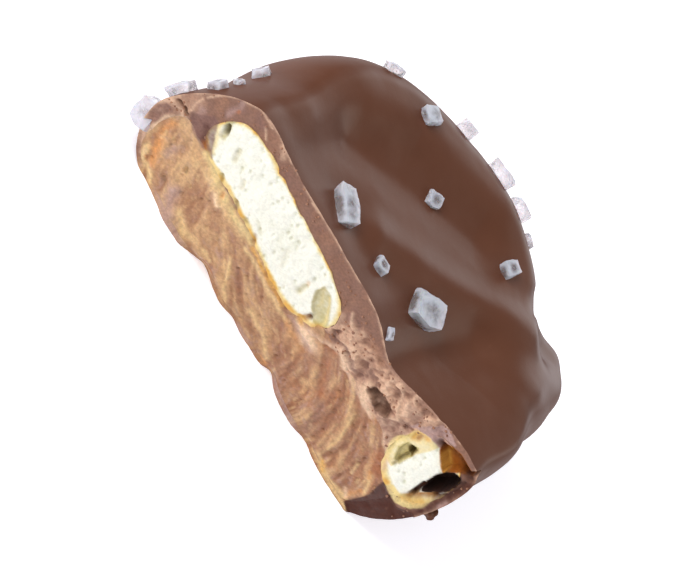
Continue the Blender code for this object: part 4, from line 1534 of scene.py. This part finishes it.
@dataclass(frozen=True)
class MilkChocolate:
    """The satin skin of the coat, slightly cloudy and duller round the sides."""

    colour: Triple = srgb(88, 53, 38)
    light: Triple = srgb(104, 66, 50)
    dark: Triple = srgb(72, 41, 28)
    sheen: Triple = srgb(255, 226, 206)
    specular: float = 0.36
    roughness: Pair = (0.31, 0.39)
    cloud_mm: float = 7.0
    fine_mm: float = 0.9
    grain_mm: float = 0.25
    bump_mm: float = 0.05
    steep: Pair = (0.06, 0.26)  # slopes where the walls start to be dull, and are at their dullest
    dull_share: float = 0.64
    dull_roughness: float = 0.6

    def material(self) -> Material:
        """Builds the material."""
        sheen = (*self.sheen, 1.0)
        finish = Finish(
            "milk_chocolate", Specular_IOR_Level=self.specular, IOR=1.45, Specular_Tint=sheen
        )
        cloud = finish.noise(self.cloud_mm, 4.0)
        fine = finish.noise(self.fine_mm, 3.0, shift=3.0)
        colour = finish.blend(self.colour, self.light, cloud.between(0.5, 0.85, 0.0, 0.35))
        colour = finish.blend(colour, self.dark, cloud.between(0.5, 0.2, 0.0, 0.35))
        colour = finish.blend(colour, self.light, fine.between(0.62, 0.8, 0.0, 0.22))
        finish.feed(finish.shader.inputs["Base Color"], colour)
        finish.feed(finish.shader.inputs["Roughness"], cloud.between(0.2, 0.8, *self.roughness))
        grain = finish.noise(self.grain_mm, 2.0, shift=8.0)
        finish.bumps(fine * 0.7 + grain * 0.3, self.bump_mm, 0.35)
        slope = Signal(finish, finish.kept("slope").outputs["Fac"])
        dull = {"Base Color": colour, "Roughness": self.dull_roughness, "Specular IOR Level": 0.0}
        finish.cover(dull, slope.between(*self.steep, 0.0, self.dull_share))
        return finish.material


@dataclass(frozen=True)
class CutFood:
    """A face that the knife laid open: painted colours with finer grain on them."""

    name: str
    roughness: Pair = (0.5, 0.7)
    grain_mm: float = 0.35
    contrast: float = 0.3
    bump_mm: float = 0.06
    glow: float = 0.0
    glow_mm: Triple = (1.0, 0.5, 0.3)
    specular: float = 0.4

    def material(self) -> Material:
        """Builds the material."""
        finish = Finish(
            self.name,
            Specular_IOR_Level=self.specular,
            Subsurface_Weight=self.glow,
            Subsurface_Radius=tuple(MM * r for r in self.glow_mm),
            Subsurface_Scale=1.0,
        )
        grain = finish.noise(self.grain_mm, 4.0, 0.6)
        wide = finish.noise(1.7, 3.0, shift=5.0)
        shade = grain.between(0.3, 0.7, 1.0 - self.contrast, 1.0 + self.contrast)
        grey = finish.node("ShaderNodeCombineColor", None, {"Red": shade, "Green": shade, "Blue": shade})
        colour = finish.blend(finish.paint(), grey.outputs["Color"], 1.0, "MULTIPLY")
        finish.feed(finish.shader.inputs["Base Color"], colour)
        finish.feed(finish.shader.inputs["Roughness"], wide.between(0.3, 0.7, *self.roughness))
        finish.bumps(grain, self.bump_mm, 0.8)
        return finish.material


@dataclass(frozen=True)
class Salt:
    """Clear salt, frosted white at its worn edges."""

    clear: Triple = srgb(242, 234, 236)
    frosted: Triple = srgb(224, 220, 230)
    transmission: float = 0.9
    roughness: float = 0.2
    frost_roughness: float = 0.35
    frost_share: Pair = (0.06, 0.64)  # in a crystal's clear middle, and at its edges
    cloud_mm: float = 0.9
    dimple_mm: float = 0.5

    def material(self) -> Material:
        """Builds the material."""
        finish = Finish(
            "salt", IOR=1.35, Transmission_Weight=self.transmission, Roughness=self.roughness
        )
        cloud = finish.noise(self.cloud_mm, 3.0)
        finish.feed(finish.shader.inputs["Base Color"], (*self.clear, 1.0))
        finish.bumps(finish.noise(self.dimple_mm, 2.0, shift=2.0), 0.08, 0.5)
        frosted = {
            "Base Color": (*self.frosted, 1.0),
            "Roughness": self.frost_roughness,
            "IOR": 1.5,
            "Subsurface Weight": 0.2,
        }
        edge = Signal(finish, finish.kept("edge").outputs["Fac"])
        finish.cover(frosted, (edge * 0.7 + cloud * 1.2).between(0.55, 1.4, *self.frost_share))
        return finish.material


# ---------------------------------------------------------------- pieces


class Sections:
    """What the pieces share: the whole forms before the cut, and the knife's faces."""

    def __init__(self) -> None:
        """Works out the forms."""
        self.coat = CoatForm()
        self.rope = RopeForm()
        self.slab = SlabForm(self.coat)
        rings = self.coat.rings()
        self.coat_whole = lofted("coat_whole", rings)
        self.rope_whole = lofted("rope_whole", self.rope.rings())
        knob = lofted("knob", self.rope.knob_rings())
        boolean(self.rope_whole, Join.ADD, knob)
        removed(knob)
        slab_rings = self.slab.rings()
        self.slab_whole = lofted("slab_whole", slab_rings)
        seam = self.outline(slab_rings, self.slab.under_rings)
        seam = np.vstack((seam, seam[:1]))
        self.chocolate = ChocolateFace(seam, self.outline(rings, self.coat.under_rings))
        self.caramel = CaramelFace(seam)
        self.crumb = PretzelFace(seam, self.rope)
        self.surface = BVHTree.FromObject(self.coat_whole, bpy.context.evaluated_depsgraph_get())

    def outline(self, rings: Array, first: int) -> Array:
        """A form's outline on the cut, from the left foot over the top to the right.

        Args:
            rings: of the whole form.
            first: number of the first ring that isn't on its underside.

        Returns:
            Points along the cut and up, with the stretch along the base left open.
        """
        left, right = [], []
        for ring in rings[first:]:
            after = np.roll(ring, -1, axis=0)
            for here in np.nonzero((ring[:, 1] < 0.0) != (after[:, 1] < 0.0))[0]:
                share = ring[here, 1] / (ring[here, 1] - after[here, 1])
                point = ring[here] + share * (after[here] - ring[here])
                (left if point[0] < self.coat.pole[0] else right).append(point[[0, 2]])
        return np.array([*left, *reversed(right)])

    def copy(self, whole: Object) -> Object:
        """A copy of a whole form, to be cut."""
        return linked(whole.name + "_cut", whole.data.copy())

    def clear(self) -> None:
        """Removes the whole forms."""
        removed(self.coat_whole, self.rope_whole, self.slab_whole)


def cut_open(piece: Object, face: KnifeFace, *materials: Material) -> None:
    """Cuts a piece with a knife's face, and gives it its colours and materials.

    Args:
        piece: cut in place.
        face: the knife's face.
        materials: of the outside and of the cut, or one for both.
    """
    knife = face.block("knife")
    for food in (piece, knife):
        food.data.materials.clear()
        for material in materials:
            food.data.materials.append(material)
    knife.data.polygons.foreach_set("material_index", [len(materials) - 1] * len(knife.data.polygons))
    boolean(piece, Join.CUT, knife)
    removed(knife)
    places = places_of(piece.data)
    store(piece.data, "paint", face.colours(places[:, 0], places[:, 2]))
    piece.data.shade_smooth()
    piece.data.set_sharp_from_angle(angle=CREASE_ANGLE)


def mark_slopes(mesh: Mesh) -> None:
    """Keeps how steep the faces are at their corners, from 0 where level to 1 upright."""
    normals = np.empty(3 * len(mesh.loops), dtype=np.float32)
    mesh.corner_normals.foreach_get("vector", normals)
    slopes = mesh.attributes.new("slope", "FLOAT", "CORNER")
    slopes.data.foreach_set("value", 1.0 - normals[2::3])


@dataclass
class ChocolateCoat:
    """The milk chocolate shell with its filling in the loop."""

    skin: MilkChocolate = MilkChocolate()
    broken: CutFood = CutFood("broken_chocolate", (0.45, 0.7), 0.3, 0.16, 0.05, 0.0, specular=0.25)
    crumb_at: Triple = (27.2, 1.4, 9.9)
    crumb_sides: Triple = (2.2, 1.7, 1.6)
    crumb_sunk: float = 0.3
    crumb_spin: float = 30.0
    crumb_power: float = 3.0
    crumb_rings: int = 18
    crumb_segments: int = 28

    def crumb(self, sections: Sections) -> Object:
        """The torn crumb that sticks to the coat beside the cut."""
        rings = block_rings(
            (0.0,) * 3, (0.5,) * 3, self.crumb_power, self.crumb_rings, self.crumb_segments, 0.48
        )
        flat = rings.reshape(-1, 3)
        torn, _ = GRAIN.chips(flat + 3.0, 0.45, 0.8)
        flat = flat * np.array(self.crumb_sides) * (0.94 - 0.16 * torn)[:, None]
        near = Vector((np.array(self.crumb_at) - ORIGIN) * MM)
        spot, normal, _, _ = sections.surface.find_nearest(near)
        lift = (0.0, 0.0, (0.5 - self.crumb_sunk) * self.crumb_sides[2] * MM)
        place = np.array(standing(spot, normal, self.crumb_spin) @ Matrix.Translation(lift))
        moved = flat * MM @ place[:3, :3].T + place[:3, 3]
        return lofted("crumb", (moved / MM + ORIGIN).reshape(rings.shape))

    def build(self, sections: Sections) -> Object:
        """Makes the piece from the shared forms."""
        piece = sections.copy(sections.coat_whole)
        crumb = self.crumb(sections)
        boolean(piece, Join.ADD, crumb)
        removed(crumb)
        boolean(piece, Join.CUT, sections.rope_whole, sections.slab_whole)
        cut_open(piece, sections.chocolate, self.skin.material(), self.broken.material())
        mark_slopes(piece.data)
        settle(piece, "milk_chocolate_coat", "chocolate_coat", slot="milk_chocolate")
        return piece


@dataclass
class CaramelSlab:
    """The slab of caramel that the rope is pressed into."""

    finish: CutFood = CutFood(
        "dragged_caramel", (0.36, 0.6), 0.4, 0.17, 0.06, 0.15, (1.2, 0.6, 0.3), 0.4
    )

    def build(self, sections: Sections) -> Object:
        """Makes the piece from the shared forms."""
        piece = sections.copy(sections.slab_whole)
        boolean(piece, Join.CUT, sections.rope_whole)
        cut_open(piece, sections.caramel, self.finish.material())
        settle(piece, "caramel_slab", "caramel_layer", slot="caramel")
        return piece


@dataclass
class PretzelLoop:
    """The loop of pretzel rope, white inside and golden at its crust."""

    finish: CutFood = CutFood(
        "pretzel_crumb", (0.75, 0.95), 0.3, 0.07, 0.05, 0.15, (0.8, 0.6, 0.4), 0.3
    )

    def build(self, sections: Sections) -> Object:
        """Makes the piece from the shared forms."""
        piece = sections.copy(sections.rope_whole)
        cut_open(piece, sections.crumb, self.finish.material())
        self.paint_walls(piece.data, sections.crumb)
        settle(piece, "pretzel_loop", "pretzel", slot="baked_pretzel")
        return piece

    def paint_walls(self, mesh: Mesh, face: PretzelFace) -> None:
        """Paints the crust's outside and the voids' walls gold, darkened to olive as a painted shade the
        deeper they lie behind the cut.
        """
        places = places_of(mesh)
        behind = places[:, 1] - face.depth(places[:, 0], places[:, 2])
        rows = np.empty(len(places) * 4, dtype=np.float32)
        paint = mesh.color_attributes["paint"]
        paint.data.foreach_get("color", rows)
        colours = rows.reshape(-1, 4)[:, :3].astype(float)
        rows.reshape(-1, 4)[:, :3] = layered(
            colours,
            (Tint.CRUST_GOLD, ramp(behind, 0.1, 0.4)),
            # painted shade: darker olive the further behind the cut
            (Tint.DARK_OLIVE, 0.8 * ramp(behind, 0.8, 3.5)),
        )
        paint.data.foreach_set("color", rows)


@dataclass
class SaltCrystals:
    """Coarse salt on the coat: x, y, z near the surface, then length, width, height, spin."""

    grains: tuple[tuple[float, ...], ...] = (
        (-7.3, 4.3, 19.5, 5.2, 2.9, 2.2, -44.0),
        (7.8, 7.4, 18.9, 4.6, 3.6, 2.4, 30.0),
        (0.4, 4.4, 19.7, 1.9, 1.7, 1.3, 10.0),
        (-0.2, 18.9, 17.9, 2.0, 1.8, 1.1, 25.0),
        (11.5, 22.4, 18.9, 2.5, 1.9, 1.6, 70.0),
        (-8.0, 23.6, 19.6, 2.6, 2.2, 1.3, 60.0),
        (7.0, 1.0, 18.9, 1.5, 1.0, 0.8, -44.0),
        (-14.0, 24.5, 17.4, 2.6, 1.7, 1.4, 20.0),
        (-3.1, 29.4, 17.4, 2.9, 2.3, 2.3, 80.0),
        (3.2, 29.8, 18.0, 3.6, 2.2, 2.1, -15.0),
        (7.7, 29.8, 17.8, 3.0, 2.2, 2.0, -20.0),
        (11.2, 29.0, 17.4, 1.6, 1.4, 1.1, 30.0),
        (-11.5, 28.2, 8.0, 2.7, 2.2, 1.6, 40.0),
        (-25.9, 1.9, 4.0, 3.6, 3.2, 2.8, 20.0),
        (-26.2, 2.6, 9.4, 3.4, 2.6, 1.9, 12.0),
        (-25.5, 2.6, 14.3, 2.4, 1.6, 1.3, -8.0),
        (-24.2, 5.5, 14.6, 1.8, 1.1, 0.9, -30.0),
        (-23.4, 10.5, 13.6, 2.1, 1.5, 1.4, 35.0),
        (5.5, 32.3, 6.5, 2.6, 2.0, 1.5, 25.0),
        (29.2, 14.0, 6.5, 2.4, 1.9, 1.4, 0.0),
        (19.4, 27.4, 8.5, 2.4, 1.8, 1.5, 30.0),
    )
    sunk: float = 0.3
    chipping_mm: float = 0.1
    roundness: float = 0.2
    unevenness: float = 0.085
    finish: Salt = Salt()

    def build(self, sections: Sections) -> Object:
        """Makes the piece: one mesh of all the crystals."""
        mesh = bpy.data.meshes.new("salt_spots")
        mesh.vertices.add(len(self.grains))
        turns = mesh.attributes.new("turn", "FLOAT_VECTOR", "POINT")
        sides = mesh.attributes.new("sides", "FLOAT_VECTOR", "POINT")
        for number, (x, y, z, *size, spin) in enumerate(self.grains):
            near = Vector((np.array((x, y, z)) - ORIGIN) * MM)
            spot, normal, _, _ = sections.surface.find_nearest(near)
            sink = Matrix.Translation((0, 0, -self.sunk * size[2] * MM))
            place = standing(spot, normal, spin) @ sink
            mesh.vertices[number].co = place.translation
            turns.data[number].vector = place.to_euler()
            sides.data[number].vector = [side * MM for side in size]
        piece = linked("salt_spots", mesh)
        grown = piece.modifiers.new("grow", "NODES")
        grown.node_group = crystal_tree()
        set_inputs(
            grown,
            {
                "Crystal Material": self.finish.material(),
                "Chipping": self.chipping_mm * MM,
                "Roundness": self.roundness,
                "Unevenness": self.unevenness,
            },
        )
        applied(piece)
        settle(piece, "salt_crystals")
        return piece


@dataclass
class LooseCrumbs:
    """Small crumbs of chocolate that the knife left on the cut."""

    per_mm2: float = 1.5
    smallest_mm: float = 0.05
    largest_mm: float = 0.18
    colours: tuple[Tint, Tint] = (Tint.HOLLOWED, Tint.SMEARED)

    def material(self) -> Material:
        """Builds the crumbs' material, in two mixed browns."""
        finish = Finish("loose_crumb", Roughness=0.6, Specular_IOR_Level=0.3)
        dark, pale = (tint.value for tint in self.colours)
        colour = finish.blend(dark, pale, finish.noise(0.8).between(0.4, 0.6))
        finish.feed(finish.shader.inputs["Base Color"], colour)
        return finish.material

    def build(self, coat: Object, ground: Material) -> Object:
        """Makes the piece: one mesh of all the crumbs.

        Args:
            coat: the finished coat, which stays as it is.
            ground: the material that the crumbs lie on.

        Returns:
            The piece.
        """
        piece = linked("crumb_ground", coat.data.copy())
        scattered = piece.modifiers.new("scatter", "NODES")
        scattered.node_group = crumb_tree()
        set_inputs(
            scattered,
            {
                "Crumb Material": self.material(),
                "Ground Material": ground,
                "Density": self.per_mm2 / MM**2,
                "Smallest": self.smallest_mm * MM,
                "Largest": self.largest_mm * MM,
            },
        )
        applied(piece)
        settle(piece, "loose_crumbs", slot="milk_chocolate")
        return piece


def standing(spot: Vector, normal: Vector, spin: float) -> Matrix:
    """A placing that stands Z on a surface, with X along it or up it, turned by spin."""
    along = Vector((1, 0, 0)) if abs(normal.x) < 0.7 else Vector((0, 0, 1))
    side = (along - along.dot(normal) * normal).normalized()
    turn = Matrix((side, normal.cross(side), normal)).transposed().to_4x4()
    return Matrix.Translation(spot) @ turn @ Matrix.Rotation(math.radians(spin), 4, "Z")


def set_inputs(modifier: Modifier, values: Mapping[str, Any]) -> None:
    """Sets a Geometry Nodes modifier's inputs by name, through their identifiers."""
    for item in modifier.node_group.interface.items_tree:
        if item.item_type == "SOCKET" and item.in_out == "INPUT" and item.name in values:
            modifier[item.identifier] = values[item.name]


def geometry_tree(name: str, inputs: Mapping[str, tuple[str, Any]]) -> tuple[Wiring, Any, Any]:
    """Starts a Geometry Nodes tree.

    Args:
        name: of the tree.
        inputs: the type and the default of each named input after the geometry.

    Returns:
        The tree, its input node and its output node.
    """
    tree = bpy.data.node_groups.new(name, "GeometryNodeTree")
    tree.is_modifier = True
    tree.interface.new_socket("Geometry", in_out="INPUT", socket_type="NodeSocketGeometry")
    tree.interface.new_socket("Geometry", in_out="OUTPUT", socket_type="NodeSocketGeometry")
    for key, (kind, default) in inputs.items():
        socket = tree.interface.new_socket(key, in_out="INPUT", socket_type=kind)
        if default is not None:
            socket.default_value = default
    wiring = Wiring(tree)
    return wiring, wiring.node("NodeGroupInput"), wiring.node("NodeGroupOutput")


def block_variant(wiring: Wiring, given: Any, seed: int) -> NodeSocket:
    """One block of salt, with its corners broken off and its faces tilted.

    Args:
        wiring: the tree.
        given: the tree's input node.
        seed: picks the block.

    Returns:
        The block's geometry as one instance.
    """
    counts = {f"Vertices {axis}": 3 for axis in "XYZ"}
    cube = wiring.node("GeometryNodeMeshCube", None, {"Size": (1, 1, 1), **counts})
    place = wiring.node("GeometryNodeInputPosition").outputs[0]
    square = wiring.node("ShaderNodeVectorMath", {"operation": "DOT_PRODUCT"}, {0: place, 1: place})
    shrink = 1.0 - Signal(wiring, square.outputs["Value"]) * given.outputs["Roundness"]
    drawn_in = scaled(wiring, place, shrink)
    uneven = {axis: given.outputs["Unevenness"] for axis in "XYZ"}
    reach = wiring.node("ShaderNodeCombineXYZ", None, uneven)
    least = scaled(wiring, reach.outputs[0], -1.0)
    moved = wiring.node(
        "FunctionNodeRandomValue",
        {"data_type": "FLOAT_VECTOR"},
        {"Min": least, "Max": reach.outputs[0], "Seed": seed},
    )
    offset = moved.outputs["Value"]
    shape = wiring.step("SetPosition", cube.outputs["Mesh"], Position=drawn_in, Offset=offset)
    fine = wiring.step("SubdivideMesh", wiring.step("ConvexHull", shape), Level=3)
    marked = wiring.node(
        "GeometryNodeStoreNamedAttribute",
        {"data_type": "FLOAT", "domain": "POINT"},
        {
            "Geometry": fine,
            "Name": "edge",
            "Value": Signal(wiring, square.outputs["Value"]).between(0.2, 0.38),
        },
    )
    lifted = wiring.step("Transform", marked.outputs[0], Translation=(0, 0, 0.45))
    return wiring.step("GeometryToInstance", lifted)


def crystal_tree(variants: int = 7) -> NodeTree:
    """Grows a broken block of salt on each point, of the point's own size and turn.

    Args:
        variants: how many different blocks there are.

    Returns:
        The tree.
    """
    wiring, given, out = geometry_tree(
        "grow_crystals",
        {
            "Crystal Material": ("NodeSocketMaterial", None),
            "Chipping": ("NodeSocketFloat", 0.2 * MM),
            "Roundness": ("NodeSocketFloat", 0.2),
            "Unevenness": ("NodeSocketFloat", 0.1),
        },
    )
    blocks = wiring.node("GeometryNodeJoinGeometry")
    for seed in range(variants):
        wiring.feed(blocks.inputs[0], block_variant(wiring, given, seed))
    turn, sides = (
        wiring.node("GeometryNodeInputNamedAttribute", {"data_type": "FLOAT_VECTOR"}, {"Name": name})
        for name in ("turn", "sides")
    )
    rotation = wiring.node("FunctionNodeEulerToRotation", None, {"Euler": turn.outputs[0]})
    placed = wiring.step(
        "InstanceOnPoints",
        given.outputs["Geometry"],
        Instance=blocks.outputs[0],
        Pick_Instance=True,
        Rotation=rotation.outputs[0],
        Scale=sides.outputs[0],
    )
    chipped = chipping(wiring, placed, given.outputs["Chipping"])
    return dressed(wiring, chipped, given.outputs["Crystal Material"], out)


def crumb_tree(seed: int = 5) -> NodeTree:
    """Scatters jagged crumbs over one material's faces, thicker in some places.

    Args:
        seed: picks the places and turns.

    Returns:
        The tree.
    """
    wiring, given, out = geometry_tree(
        "scatter_crumbs",
        {
            "Crumb Material": ("NodeSocketMaterial", None),
            "Ground Material": ("NodeSocketMaterial", None),
            "Density": ("NodeSocketFloat", 1e6),
            "Smallest": ("NodeSocketFloat", 0.05 * MM),
            "Largest": ("NodeSocketFloat", 0.2 * MM),
        },
    )
    material = given.outputs["Ground Material"]
    ground = wiring.node("GeometryNodeMaterialSelection", None, {"Material": material})
    cloud = wiring.node("ShaderNodeTexNoise", None, {"Scale": 1.0 / (2.5 * MM), "Detail": 2.0})
    place = wiring.node("GeometryNodeInputPosition").outputs[0]
    height = wiring.node("ShaderNodeSeparateXYZ", None, {"Vector": place})
    above = Signal(wiring, height.outputs["Z"]).between(5.0 * MM, 8.0 * MM)
    thicker = Signal(wiring, cloud.outputs[0]).between(0.42, 0.62) * above * given.outputs["Density"]
    points = wiring.step(
        "DistributePointsOnFaces",
        given.outputs["Geometry"],
        Selection=ground.outputs[0],
        Density=thicker,
        Seed=seed,
    )
    ball = wiring.node("GeometryNodeMeshIcoSphere", None, {"Radius": 1.0, "Subdivisions": 2})
    turn = wiring.node(
        "FunctionNodeRandomValue",
        {"data_type": "FLOAT_VECTOR"},
        {"Min": (0, 0, 0), "Max": (FULL_TURN,) * 3, "Seed": seed},
    )
    rotation = wiring.node("FunctionNodeEulerToRotation", None, {"Euler": turn.outputs["Value"]})
    size = wiring.node(
        "FunctionNodeRandomValue",
        {"data_type": "FLOAT"},
        {"Min_001": given.outputs["Smallest"], "Max_001": given.outputs["Largest"], "Seed": seed + 1},
    )
    placed = wiring.step(
        "InstanceOnPoints",
        points,
        Instance=ball.outputs[0],
        Rotation=rotation.outputs[0],
        Scale=named(size.outputs, "Value_001"),
    )
    chipped = chipping(wiring, placed, CRUMB_CHIP_DEPTH, CRUMB_CHIP_MM)
    return dressed(wiring, chipped, given.outputs["Crumb Material"], out)


def chipping(wiring: Wiring, placed: Value, depth: Value, size_mm: float = 0.7) -> NodeSocket:
    """Makes instances real, and chips them into blocky steps with lumps on them.

    Args:
        wiring: the tree.
        placed: the instances' socket.
        depth: how deep the chips go, in metres.
        size_mm: width of a chip.

    Returns:
        The socket that gives the chipped geometry.
    """
    real = wiring.step("RealizeInstances", placed)
    place = wiring.node("GeometryNodeInputPosition").outputs[0]
    cells = wiring.node(
        "ShaderNodeTexVoronoi",
        {"distance": "CHEBYCHEV"},
        {"Vector": place, "Scale": 1.0 / (size_mm * MM), "Randomness": 0.9},
    )
    lumps = wiring.node(
        "ShaderNodeTexNoise",
        None,
        {"Vector": place, "Scale": 1.0 / (2.0 * size_mm * MM), "Detail": 2.0},
    )
    split = wiring.node("ShaderNodeSeparateXYZ", None, {"Vector": cells.outputs["Color"]})
    step = Signal(wiring, split.outputs[0])
    height = (step - 0.6) * 0.9 + (Signal(wiring, lumps.outputs[0]) - 0.5) * 1.6
    normal = wiring.node("GeometryNodeInputNormal").outputs[0]
    return wiring.step("SetPosition", real, Offset=scaled(wiring, normal, height * depth))


def scaled(wiring: Wiring, vector: Value, scale: Value) -> NodeSocket:
    """A vector times a number."""
    values = {0: vector, "Scale": scale}
    return wiring.node("ShaderNodeVectorMath", {"operation": "SCALE"}, values).outputs[0]


def dressed(wiring: Wiring, shape: Value, material: Value, out: Node) -> NodeTree:
    """Ends a tree: flat faces and a material.

    Args:
        wiring: the tree.
        shape: the geometry's socket.
        material: the socket that gives the material.
        out: the tree's output node.

    Returns:
        The finished tree.
    """
    flat = wiring.step("SetShadeSmooth", shape, Shade_Smooth=False)
    wiring.feed(out.inputs[0], wiring.step("SetMaterial", flat, Material=material))
    return wiring.tree


# ---------------------------------------------------------------- the studio


@dataclass(frozen=True)
class Lamp:
    """A soft square light that faces the food; lengths in metres, power in watts."""

    name: str
    towards: Triple
    side: float
    power: float
    colour: Triple = (1.0, 1.0, 1.0)
    far: float = 0.6

    def hang(self) -> None:
        """Adds the light to the scene."""
        data = bpy.data.lights.new(self.name, "AREA")
        data.shape, data.size, data.energy, data.color = "SQUARE", self.side, self.power, self.colour
        lamp = linked(self.name, data)
        direction = Vector(self.towards).normalized()
        lamp.location = direction * self.far
        lamp.rotation_mode = "QUATERNION"
        lamp.rotation_quaternion = direction.to_track_quat("Z", "Y")


@dataclass
class Studio:
    """A pale floor, soft lights round the food, and the camera."""

    azimuth: float = -18.3
    elevation: float = 42.7
    roll: float = 71.6
    aim: Triple = (2.37, -6.6, 7.0)
    frame_mm: float = 75.0
    lens: float = 400.0
    sensor: float = 36.0
    clip: Pair = (0.05, 30.0)
    floor_reach: float = 3.0
    floor_cloud_mm: float = 60.0
    floor_glow: float = 0.44
    sky: Triple = (0.93, 0.95, 1.0)
    sky_strength: float = 0.4
    lamps: tuple[Lamp, ...] = (
        Lamp("key", (-0.80, -0.16, 0.62), 0.45, 3.4, (1.0, 0.99, 0.97)),
        Lamp("front", (-0.10, -0.90, 0.55), 0.6, 1.0),
        Lamp("back", (0.12, 0.95, 0.25), 0.4, 0.7, (0.97, 0.98, 1.0)),
        Lamp("right", (0.85, 0.30, 0.42), 0.5, 1.5, (1.0, 0.98, 0.96)),
    )

    def floor(self) -> None:
        """Lays the floor."""
        finish = Finish(
            "pale_floor",
            Roughness=0.9,
            Specular_IOR_Level=0.1,
            Emission_Color=(*srgb(247, 245, 252), 1.0),
            Emission_Strength=self.floor_glow,
        )
        tone = finish.noise(self.floor_cloud_mm, 2.0)
        colour = finish.blend(srgb(247, 247, 250), srgb(250, 250, 252), tone)
        finish.feed(finish.shader.inputs["Base Color"], colour)
        mesh = bpy.data.meshes.new("floor")
        far = self.floor_reach
        corners = [(-far, -far, 0), (far, -far, 0), (far, far, 0), (-far, far, 0)]
        mesh.from_pydata(corners, [], [(0, 1, 2, 3)])
        mesh.materials.append(finish.material)
        floor = linked("floor", mesh)

    def light(self) -> None:
        """Sets the lights and the pale surroundings."""
        world = bpy.data.worlds.new("surroundings")
        world.use_nodes = True
        background = world.node_tree.nodes["Background"]
        background.inputs["Color"].default_value = (*self.sky, 1.0)
        background.inputs["Strength"].default_value = self.sky_strength
        bpy.context.scene.world = world
        for lamp in self.lamps:
            lamp.hang()

    def camera(self) -> None:
        """Places the camera at the photograph's angle, rolled as it was held."""
        azimuth, elevation = math.radians(self.azimuth), math.radians(self.elevation)
        back = Vector(
            (
                math.sin(azimuth) * math.cos(elevation),
                -math.cos(azimuth) * math.cos(elevation),
                math.sin(elevation),
            )
        )
        roll = Matrix.Rotation(math.radians(self.roll), 3, "Z")
        turn = back.to_track_quat("Z", "Y").to_matrix() @ roll
        data = bpy.data.cameras.new("camera")
        data.lens, data.sensor_width = self.lens, self.sensor
        data.clip_start, data.clip_end = self.clip
        camera = linked("camera", data)
        camera.location = Vector(self.aim) * MM + back * (self.frame_mm * MM * self.lens / self.sensor)
        camera.rotation_mode = "QUATERNION"
        camera.rotation_quaternion = turn.to_quaternion()
        bpy.context.scene.camera = camera

    def build(self) -> None:
        """Sets up everything round the food."""
        scene = bpy.context.scene
        scene.view_settings.view_transform = "Standard"
        scene.view_settings.look = "None"
        self.floor()
        self.light()
        self.camera()


def main() -> None:
    """Builds every piece in order, then the studio."""
    logging.basicConfig(level=logging.INFO, format="%(message)s")
    sections = Sections()
    coat = ChocolateCoat().build(sections)
    for maker in (CaramelSlab(), PretzelLoop(), SaltCrystals()):
        maker.build(sections)
    LooseCrumbs().build(coat, coat.data.materials[1])
    sections.clear()
    Studio().build()


if __name__ == "__main__":
    main()
